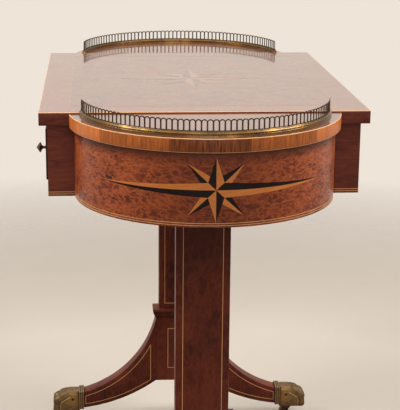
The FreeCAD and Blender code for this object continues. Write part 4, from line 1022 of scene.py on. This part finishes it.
class WRITINGTABLE_OT_columns(bpy.types.Operator):
    """Build the pillars, their moulded caps and leg blocks with their strings"""

    bl_idname = "writing_table.columns"
    bl_label = "Columns"
    reed: size("Reed", "Radius of the cap's two reeds", 2.375)

    def cap_section(self):
        """Cap as (inset, rise): bead, two half-round reeds and a thick plate with eased edges."""
        turn = np.linspace(-QUARTER, QUARTER, 9)
        swell, climb = self.reed * (1 - np.cos(turn)), self.reed * (1 + np.sin(turn))
        plate_inset = np.array([3.4, 3.4, 0.6, 0.0, 0.0, 0.6]) * MM
        plate_rise = np.array([10.0, 10.6, 10.6, 11.2, 16.4, 17.0]) * MM
        inset = np.concatenate([[1.0 * MM + self.reed], 3.0 * MM + swell, 1.0 * MM + swell, plate_inset])
        rise = np.concatenate([[0.0], 0.5 * MM + climb, 5.25 * MM + climb, plate_rise])
        return inset, rise

    def execute(self, context):
        lengths = sizes()
        column_x, column_y = (COLUMN_HIGH.x - COLUMN_LOW.x) / 2, COLUMN_HIGH.y
        column_ends, block_ends = (CAP_HIGH.z, FRIEZE_BOTTOM), (BLOCK_LOW.z, BLOCK_HIGH.z)
        shaft = stacked(rounded_rectangle(np.full(2, column_x), column_y, lengths.arris), column_ends)
        block = stacked(rounded_rectangle(np.full(2, BLOCK_HALF), BLOCK_HIGH.y, lengths.arris), block_ends)
        inset, rise = self.cap_section()
        outline = rounded_rectangle((CAP_HIGH.x - CAP_LOW.x) / 2 - inset, CAP_HIGH.y - inset, 1.2 * MM)
        cap = stacked(outline, CAP_LOW.z + rise)
        # Strings of a column's and a block's faces: reach of the face, half width, lower and upper end
        panels = [(column_x, column_y - lengths.column_inset, CAP_HIGH.z + 12 * MM, FRIEZE_BOTTOM - 9 * MM),
                  (BLOCK_HALF, 25 * MM, BLOCK_LOW.z + 27 * MM, BLOCK_HIGH.z - 25 * MM)]
        shapes = [(shaft, "column", "veneer", 38.0), (cap, "cap", "moulding", 50.0),
                  (block, "leg_block", "veneer", 38.0)]
        for name, side in SIDES.items():
            middle = np.array([side * SUPPORT_X, 0.0, 0.0])
            for rings, node, skin, crease in shapes:
                piece(f"{name}_{node}_{skin}", [grid(rings + middle)], "pillar_veneer",
                      f"{name}_{node}", crease=crease)
            parts = []
            for reach, wide, low, high in panels:
                for face in FACES:
                    corners = [(reach * face, -wide, low), (reach * face, wide, low),
                               (reach * face, wide, high), (reach * face, -wide, high)]
                    parts.append(string(corners + middle, (face, 0, 0), True, lengths.pillar_string))
            piece(f"{name}_column_strings", parts, "boxwood")
        return {"FINISHED"}


class WRITINGTABLE_OT_legs(bpy.types.Operator):
    """Build the sabre legs with their strings"""

    bl_idname = "writing_table.legs"
    bl_label = "Legs"
    upper_hollow: size("Upper hollow", "Sag of the leg's upper edge below its chord", 30)
    lower_hollow: size("Lower hollow", "Sag of the leg's lower edge below its chord", 10)
    shoulder_drop: size("Shoulder", "Drop of the leg's root below the block's top", 2)
    foot_drop: size("Foot drop", "Drop of the leg's end below the paw's top", 3.5)
    foot_height: size("Foot", "Height of the leg where it enters the paw", 33.5)
    upper_inset: size("Upper string", "Inset of the string from the upper edge", 9)
    lower_inset: size("Lower string", "Inset of the string from the lower edge", 8)
    root_inset: size("Root string", "Inset of the string from the block", 11)
    toe_inset: size("Toe string", "Inset of the string from the paw", 3.5)

    def execute(self, context):
        lengths = sizes()
        steps, string_steps = 41, 30
        root, toe = BLOCK_HIGH.y, PAW_LOW.y
        foot_top = PAW_HIGH.z - self.foot_drop
        upper = leg_circle((root, BLOCK_HIGH.z - self.shoulder_drop), (toe, foot_top), self.upper_hollow)
        lower = leg_circle((root, BLOCK_LOW.z), (toe, foot_top - self.foot_height), self.lower_hollow)
        edge_high, edge_low = (leg_curve(circle, root, toe, steps) for circle in (upper, lower))
        across = edge_high - edge_low
        half_high = np.linalg.norm(across, axis=1) / 2
        across /= 2 * half_high[:, None]
        section = rounded_rectangle(BLOCK_HALF, half_high, lengths.arris)
        side_view = ((edge_high + edge_low) / 2)[:, None] + section[..., 1:] * across[:, None]
        rings = np.concatenate([SUPPORT_X + section[..., :1], side_view], -1)
        near, far = root + self.root_inset, toe - self.toe_inset
        loop = np.concatenate([leg_curve(upper, near, far, string_steps, self.upper_inset),
                               leg_curve(lower, far, near, string_steps, -self.lower_inset)])
        for name, side, depth in CORNERS:
            blade = grid(at_corner(rings, side, depth))
            piece(f"{name}_leg_veneer", [blade], "pillar_veneer", f"{name}_leg")
            parts = []
            for face in FACES:
                path = np.concatenate([np.full((len(loop), 1), SUPPORT_X + face * BLOCK_HALF), loop], 1)
                parts.append(string(at_corner(path, side, depth), (face * side, 0, 0), True,
                                    lengths.pillar_string))
            piece(f"{name}_leg_strings", parts, "boxwood")
        return {"FINISHED"}


class WRITINGTABLE_OT_paws(bpy.types.Operator):
    """Build the brass lion paws: collar, hair, knuckles, toes, claws and the pin's eye"""

    bl_idname = "writing_table.paws"
    bl_label = "Paws"
    half_width: size("Half width", "Half width of a paw's collar and reach of the pin's eyes", 18.6)

    def placed(self, x, ahead, rise):
        """Points in millimetres from the middle, back and foot of a paw, at the right back corner."""
        return np.stack([SUPPORT_X + x * MM, PAW_LOW.y + ahead * MM, PAW_LOW.z + rise * MM], -1)

    def collar(self):
        """Three beads round the leg: rounded rectangles whose half width follows the beads along the paw."""
        ahead = np.array([0, 0.5, 1.6, 2.6, 3.1, 3.5, 3.9, 4.4, 5.0, 6.0, 6.6, 7.0, 7.3, 7.7, 8.3, 9.4, 10.0,
                          10.4]) * MM
        swell = np.array([-0.9, -0.2, 0, -0.2, -0.7, -1.0, -0.7, -0.2, 0, -0.2, -0.7, -1.0, -0.7, -0.2, 0,
                          -0.2, -0.9, -1.8])
        low, high = PAW_LOW.z + 3.0 * MM, PAW_HIGH.z
        section = rounded_rectangle(self.half_width + swell * MM, (high - low) / 2 + swell * MM, 4.0 * MM, 7)
        y = np.broadcast_to(PAW_LOW.y + ahead[:, None], section.shape[:2])
        points = np.stack([SUPPORT_X + section[..., 0], y, (low + high) / 2 + section[..., 1]], -1)
        return points, np.clip(0.75 + 0.7 * swell, 0, 1)[:, None]

    def reach(self, middle, half, ray):
        """Far crossing of rays from the origin with an ellipse, or 0 where they miss.

        It is (b + sqrt(b^2 - a c)) / a: after a division by the half sizes, a = ray . ray, b = ray . middle
        and c = middle . middle - 1.
        """
        ray, middle = ray / half, middle / half
        a, b = (ray ** 2).sum(-1), (ray * middle).sum(-1)
        root = b ** 2 - a * ((middle ** 2).sum(-1) - 1)
        return np.where((root > 0) & (b > 0), (b + np.sqrt(np.maximum(root, 0))) / a, 0.0)

    def outlines(self):
        """Plan outlines (x, ahead) by height z, in millimetres.

        Each is the outer reach, along rays from the middle, of a squarish body, |x / w|^7 + |d / l|^7 = 1,
        and of four round toes, joined as (sum of reach^24)^(1 / 24).
        """
        square, join, heel, crown, dome = 7, 24, 8.8, 33, 9.9
        z = np.concatenate([np.linspace(0, crown, 56),
                            crown + dome * np.sin(np.linspace(0, QUARTER, 26)[1:])])[:, None]
        knots = [0, 2, 24, 30, 34, 37, 39.5, 41, 42.3, 42.9]
        wide = through(knots, [17.8, 18.5, 18.6, 18.6, 18.2, 17.3, 15.4, 13.2, 9.8, 5.0], z)
        front = through(knots, [52.5, 53, 53, 52.4, 50.2, 46.0, 38.5, 30.0, 20.0, 11.0], z)
        middle, half = (front + heel) / 2, (front - heel) / 2
        turn = np.linspace(0, 2 * math.pi, 232, endpoint=False)[None]
        ray = np.stack([np.cos(turn), np.sin(turn)], -1)
        sides = np.abs(np.cos(turn) / wide) ** square + np.abs(np.sin(turn) / half) ** square
        body = sides ** (-1 / square)
        knots = [0, 2, 6, 12, 17, 22, 26, 29, 31.5, 33, 43]
        swell = through(knots, [0.84, 0.96, 1.0, 0.94, 0.9, 0.98, 0.93, 0.78, 0.5, 0.1, 0.1], z)[..., None]
        back = through(knots, [0.8, 0, 0, 0, 0, 0, 0.8, 2.2, 4.0, 5.5, 20.0], z)
        total = body ** join
        for across, ahead, half_wide, half_long, _ in TOES:
            spot = np.stack(np.broadcast_arrays(across, ahead - back - middle), -1)
            toe = self.reach(spot, swell * (half_wide, half_long), ray)
            total = total + np.where(z < crown, toe, 0) ** join
        out = total ** (1 / join)
        return out * np.cos(turn), middle + out * np.sin(turn), z

    def paw_skin(self):
        """Outlines stacked by height, with the carving pressed in along their normals, in millimetres.

        Crossed locks of hair lie above a slanting brow, a bead parts the outer toe, and clefts part the
        toes. The carving is kept inside the solid's box.
        """
        x, d, z = self.outlines()
        points = np.stack([x, d, np.broadcast_to(z, x.shape)], -1)
        round_ring = np.roll(points, -1, axis=1) - np.roll(points, 1, axis=1)
        normal = np.cross(round_ring, np.gradient(points, axis=0))
        normal /= np.linalg.norm(normal, axis=-1)[..., None]
        lock_turn, brow_ahead, brow_rise, brow_slope = 0.7, 29, 30, 0.65
        bead_ahead, crack_ahead, bead_width, bead_bow, toe_height = 46, 48.6, 0.9, 2.0, 20
        cleft_across, cleft_width = 9.2, 1.2
        box_low, box_high = (-19.9, -np.inf, 0), (19.9, 62.4, 43.4)
        rise = z + np.maximum(0, 18 - np.abs(x)) * ease(z, 33, 36)
        above = rise - brow_rise + brow_slope * (d - brow_ahead)
        flank = ease(np.abs(x), 12, 15)
        bow = bead_bow * np.sin(math.pi * z / toe_height)
        locks = np.minimum(np.abs(np.sin((d + rise) * lock_turn)), np.abs(np.sin((d - rise) * lock_turn)))
        haired = ease(above, 0.4, 2.0) * ease(d, 27.5, 29.5) * (1 - ease(d, 50, 54))
        groove = (1 - locks) ** 2 * haired
        brow = ridge(above, 1.0) * flank * ease(d, 27, 29) * (1 - ease(d, 45, 47))
        bead = ridge(d - bead_ahead - bow, bead_width) * flank * (1 - ease(z, 17, 20))
        crack = ridge(d - crack_ahead - bow, bead_width) * flank * (1 - ease(z, 19, 22))
        clefts = ridge(np.abs(x) - cleft_across, cleft_width) + ridge(x, cleft_width)
        valley = ease(d, 51, 56) * np.minimum(1, clefts)
        relief = 0.8 * (brow + bead) - 1.2 * groove - crack
        worn = 0.5 + 0.45 * (brow + bead) + 0.3 * (haired - groove) - 0.5 * (groove + crack + valley)
        points = np.clip(points + relief[..., None] * normal, box_low, box_high)
        return self.placed(*np.moveaxis(points, -1, 0)), np.clip(worn - 0.3 * (1 - ease(z, 0, 5)), 0, 1)

    def claws(self):
        """Curved nails on the toes, in millimetres: radius r (1 - t)^0.6 round a path that bends down."""
        root, bow, flat, start, drop = 1.7, 1.4, 0.6, 9.5, 8.6
        t = np.linspace(0, 0.96, 7)[None, :, None]
        turn = np.linspace(0, 2 * math.pi, 10, endpoint=False)[None, None]
        across, ahead = TOES[:, 0, None, None], TOES[:, 4, None, None]
        thick = root * (1 - t) ** 0.6
        ahead = ahead + bow * np.sin(math.pi * t) + flat * thick * np.sin(turn)
        points = np.broadcast_arrays(across + thick * np.cos(turn), ahead, start - drop * t)
        worn = 0.7
        return self.placed(*points), worn

    def execute(self, context):
        castings = self.collar(), self.paw_skin(), self.claws()
        radius = np.array([4.4, 4.2, 3.8, 3.3, 3.0]) * MM
        run = np.array([-0.6, 0.2, 0.35, 0.25, 0.08]) * MM
        for name, side, depth in CORNERS:
            parts = [grid(at_corner(rings, side, depth), worn=worn) for rings, worn in castings]
            for face in FACES:
                seat = (SUPPORT_X + face * self.half_width, PIN_Y, PIN_Z)
                eye = revolved(radius, run, seat, (face, 0, 0), (0, 1, 0), 20)
                parts.append(grid(at_corner(eye, side, depth), cap_finish=(1, 1)))
            piece(f"{name}_paw_casting", parts, "paw_brass pin_skin", f"{name}_paw",
                  crease=60.0)
        return {"FINISHED"}


class WRITINGTABLE_OT_castors(bpy.types.Operator):
    """Finish the castor forks and axles, and build the turned wheels"""

    bl_idname = "writing_table.castors"
    bl_label = "Castors"

    def execute(self, context):
        middle = [(low + high) / 2 for low, high in zip(WHEEL_LOW, WHEEL_HIGH)]
        share = np.array([0.22, 0.42, 0.46, 0.48, 0.7, 0.73, 0.78, 0.92, 0.98, 1.0])
        run = np.array([1.0, 1.0, 0.92, 0.55, 0.5, 0.86, 0.94, 0.9, 0.6, 0.0])
        radius = (WHEEL_HIGH.z - WHEEL_LOW.z) / 2 * np.concatenate([share, share[-2::-1]])
        across = (WHEEL_HIGH.x - WHEEL_LOW.x) / 2 * np.concatenate([run, -run[-2::-1]])
        wheel = revolved(radius, across, middle, (1, 0, 0), (0, 1, 0), 44)
        for name, side, depth in CORNERS:
            dress("castor_brass", f"{name}_castor_fork")
            dress("dull_steel", f"{name}_castor_axle")
            turning = grid(at_corner(wheel, side, depth), along=True, caps=False)
            piece(f"{name}_castor_wheel_turning", [turning], "wheel_brass_worn",
                  f"{name}_castor_wheel", f"{name}_wheel")
        return {"FINISHED"}


class WRITINGTABLE_OT_drawer(bpy.types.Operator):
    """Finish the drawer and build its turned knobs and back plates"""

    bl_idname = "writing_table.drawer"
    bl_label = "Drawer"

    def execute(self, context):
        dress("drawer_front_veneer", "drawer_front")
        dress("pillar_veneer", "drawer_beads")
        dress("lining_wood", "drawer_right_side", "drawer_left_side", "drawer_back", "drawer_bottom")
        dress("dull_steel", "knob_nuts")
        head_radius = (KNOB_HIGH.z - KNOB_LOW.z) / 2
        face = PLATE_HIGH.y
        run = np.linspace(0, 1, 48)
        knots = [0.0, 0.05, 0.09, 0.15, 0.3, 0.5, 0.57, 0.63, 0.68, 0.72, 0.76, 0.85, 0.94, 1.0]
        turned = [0.56, 0.6, 0.52, 0.37, 0.31, 0.31, 0.42, 0.76, 0.97, 1.0, 0.93, 0.62, 0.28, 0.0]
        knob = np.clip(through(knots, turned, run), 0, 1) * head_radius, run * (face - KNOB_LOW.y)
        rim = np.array([1.0, 1.0, 0.94, 0.82, 0.78, 0.7, 0.62, 0.6]) * (PLATE_HIGH.z - PLATE_LOW.z) / 2
        rose = rim, np.array([0.0, 0.5, 0.85, 1.0, 0.9, 1.1, 1.7, 2.0]) * MM
        seats = [(side * (KNOB_HIGH.x - head_radius), face, (KNOB_LOW.z + KNOB_HIGH.z) / 2)
                 for side in SIDES.values()]
        for name, node, profile, weld in (("drawer_knob_turnings", "drawer_knobs", knob, True),
                                          ("drawer_knob_roses", "knob_plates", rose, False)):
            parts = [grid(revolved(*profile, seat, (0, -1, 0), (1, 0, 0), 40)) for seat in seats]
            piece(name, parts, "knob_brass", node, "drawer", weld=weld)
        return {"FINISHED"}


def axes_matrix(right, up, back, place):
    """Transform whose axes are right, up and back, at a place."""
    matrix = np.eye(4)
    matrix[:3] = np.stack([right, up, back, place], 1)
    return Matrix(matrix.tolist())


class WRITINGTABLE_OT_stage(bpy.types.Operator):
    """Set up the floor, the soft lights, the pale surround and the camera"""

    bl_idname = "writing_table.stage"
    bl_label = "Stage"
    floor_radius: size("Floor", "Radius of the round floor", 2500)
    fade_from: size("Fade", "Distance at which the floor starts to fade out", 800)
    fade_to: size("Faded", "Distance at which the floor has faded out", 2400)

    def area_light(self, name, place, aim, side, power):
        """Square light at a place, turned to its aim; nearly overhead, it is squared to the Y axis."""
        overhead = 0.95
        lamp = bpy.data.lights.new(name, "AREA")
        lamp.shape = "RECTANGLE"
        lamp.size, lamp.size_y, lamp.energy = side, side, power
        obj = bpy.data.objects.new(name, lamp)
        place, aim = np.array(place), np.array(aim)
        back = (place - aim) / np.linalg.norm(place - aim)
        right = np.cross((0, 0, 1) if abs(back[2]) < overhead else (0, 1, 0), back)
        right /= np.linalg.norm(right)
        obj.matrix_world = axes_matrix(right, np.cross(back, right), back, place)
        obj.visible_camera = False
        bpy.context.scene.collection.objects.link(obj)

    def floor(self, settings):
        """Round floor whose edge fades out: rings r = R t^2 about the origin, with a thin rim below."""
        ground = Finish("pale_floor")
        grain = ground.remap(ground.noise(ground.place, 9.0, 5.0, 0.6), 0.3, 0.7, 0.0, 0.12)
        pale = ground.blend(grain, settings.floor, darker(settings.floor, 0.8))
        thrown = darker(settings.floor, settings.floor_bounce)
        ground.surface({"Base Color": ground.blend(ground.seen_rays(), thrown, pale), "Roughness": 0.85,
                        "Specular IOR Level": 0.1})
        away = ground.node("VectorMath", {0: ground.place}, operation="LENGTH").outputs["Value"]
        clear = ground.node("BsdfTransparent", {}).outputs[0]
        fade = ground.node("MixShader", {0: ground.remap(away, self.fade_from, self.fade_to),
                                         1: ground.shader.outputs[0], 2: clear}).outputs[0]
        ground.put(fade, ground.tree.nodes["Material Output"].inputs["Surface"])
        steps, rim = 24, 10 * MM
        radius = np.concatenate([self.floor_radius * np.linspace(0.02, 1, steps) ** 2,
                                 [self.floor_radius, 1.0 * MM]])
        part = grid(revolved(radius, np.repeat([0.0, -rim], [steps, 2]), (0, 0, 0), (0, 0, 1), (1, 0, 0), 64))
        mesh = bpy.data.meshes.new("studio_floor")
        faces = [row for rows in part["faces"] for row in rows.tolist()]
        mesh.from_pydata(part["points"].tolist(), [], faces)
        mesh.materials.append(bpy.data.materials["pale_floor"])
        obj = bpy.data.objects.new("studio_floor", mesh)
        bpy.context.scene.collection.objects.link(obj)

    def surround(self, settings):
        """Pale surround for camera, glossy and transmission rays; even ambient light for the rest."""
        warm_white = (1.0, 0.97, 0.93, 1.0)
        world = bpy.data.worlds.new("studio")
        bpy.context.scene.world = world
        world.use_nodes = True
        sky = Shading(world.node_tree)
        pale = sky.node("Background", {"Color": (*settings.surround, 1.0), "Strength": 1.0}).outputs[0]
        even = sky.node("Background", {"Color": warm_white, "Strength": settings.ambient}).outputs[0]
        both = sky.node("MixShader", {0: sky.seen_rays(), 1: even, 2: pale}).outputs[0]
        sky.put(both, sky.tree.nodes["World Output"].inputs["Surface"])

    def camera(self, settings):
        """Camera that looks along the table, turned, tilted down and rolled about its view."""
        turn, tilt, roll = settings.camera_turn, settings.camera_tilt, settings.camera_roll
        ahead = np.array([-math.cos(turn) * math.cos(tilt), math.sin(turn) * math.cos(tilt), -math.sin(tilt)])
        level = np.array([math.sin(turn), math.cos(turn), 0.0])
        above = np.cross(level, ahead)
        right = level * math.cos(roll) + above * math.sin(roll)
        up = above * math.cos(roll) - level * math.sin(roll)
        lens = bpy.data.cameras.new("photo_camera")
        lens.lens, lens.sensor_width = settings.camera_lens, 36.0
        camera = bpy.data.objects.new("photo_camera", lens)
        camera.matrix_world = axes_matrix(right, up, -ahead, settings.camera_place)
        bpy.context.scene.collection.objects.link(camera)
        bpy.context.scene.camera = camera

    def execute(self, context):
        settings = stage_settings()
        self.floor(settings)
        self.surround(settings)
        for name, (place, aim, side, power) in LIGHTS.items():
            self.area_light(name, place, aim, side, getattr(settings, power))
        self.camera(settings)
        context.scene.view_settings.view_transform = "Standard"
        return {"FINISHED"}


OPERATORS = (
    WRITINGTABLE_OT_finishes,
    WRITINGTABLE_OT_tops,
    WRITINGTABLE_OT_end_friezes,
    WRITINGTABLE_OT_carcass,
    WRITINGTABLE_OT_strings,
    WRITINGTABLE_OT_stars,
    WRITINGTABLE_OT_galleries,
    WRITINGTABLE_OT_columns,
    WRITINGTABLE_OT_legs,
    WRITINGTABLE_OT_paws,
    WRITINGTABLE_OT_castors,
    WRITINGTABLE_OT_drawer,
    WRITINGTABLE_OT_stage,
)


class WRITINGTABLE_PT_panel(bpy.types.Panel):
    """Lists the table's operators, sizes and colours"""

    bl_idname = "WRITINGTABLE_PT_panel"
    bl_label = "Writing Table"
    bl_space_type = "VIEW_3D"
    bl_region_type = "UI"
    bl_category = "Writing Table"

    def draw(self, context):
        for operator in OPERATORS:
            self.layout.operator(operator.bl_idname)
        for group in (sizes(), finishes(), stage_settings()):
            box = self.layout.box()
            for name in group.__annotations__:
                box.prop(group, name)


SETTINGS = {
    "writing_table_sizes": WRITINGTABLE_PG_sizes,
    "writing_table_finishes": WRITINGTABLE_PG_finishes,
    "writing_table_stage": WRITINGTABLE_PG_stage,
}


def register():
    for kind in (*SETTINGS.values(), *OPERATORS, WRITINGTABLE_PT_panel):
        bpy.utils.register_class(kind)
    for name, kind in SETTINGS.items():
        setattr(bpy.types.Scene, name, PointerProperty(type=kind))


def unregister():
    for name in SETTINGS:
        delattr(bpy.types.Scene, name)
    for kind in (WRITINGTABLE_PT_panel, *reversed(OPERATORS), *SETTINGS.values()):
        bpy.utils.unregister_class(kind)


def main():
    register()
    for operator in OPERATORS:
        package, name = operator.bl_idname.split(".")
        getattr(getattr(bpy.ops, package), name)()


if __name__ == "__main__":
    main()
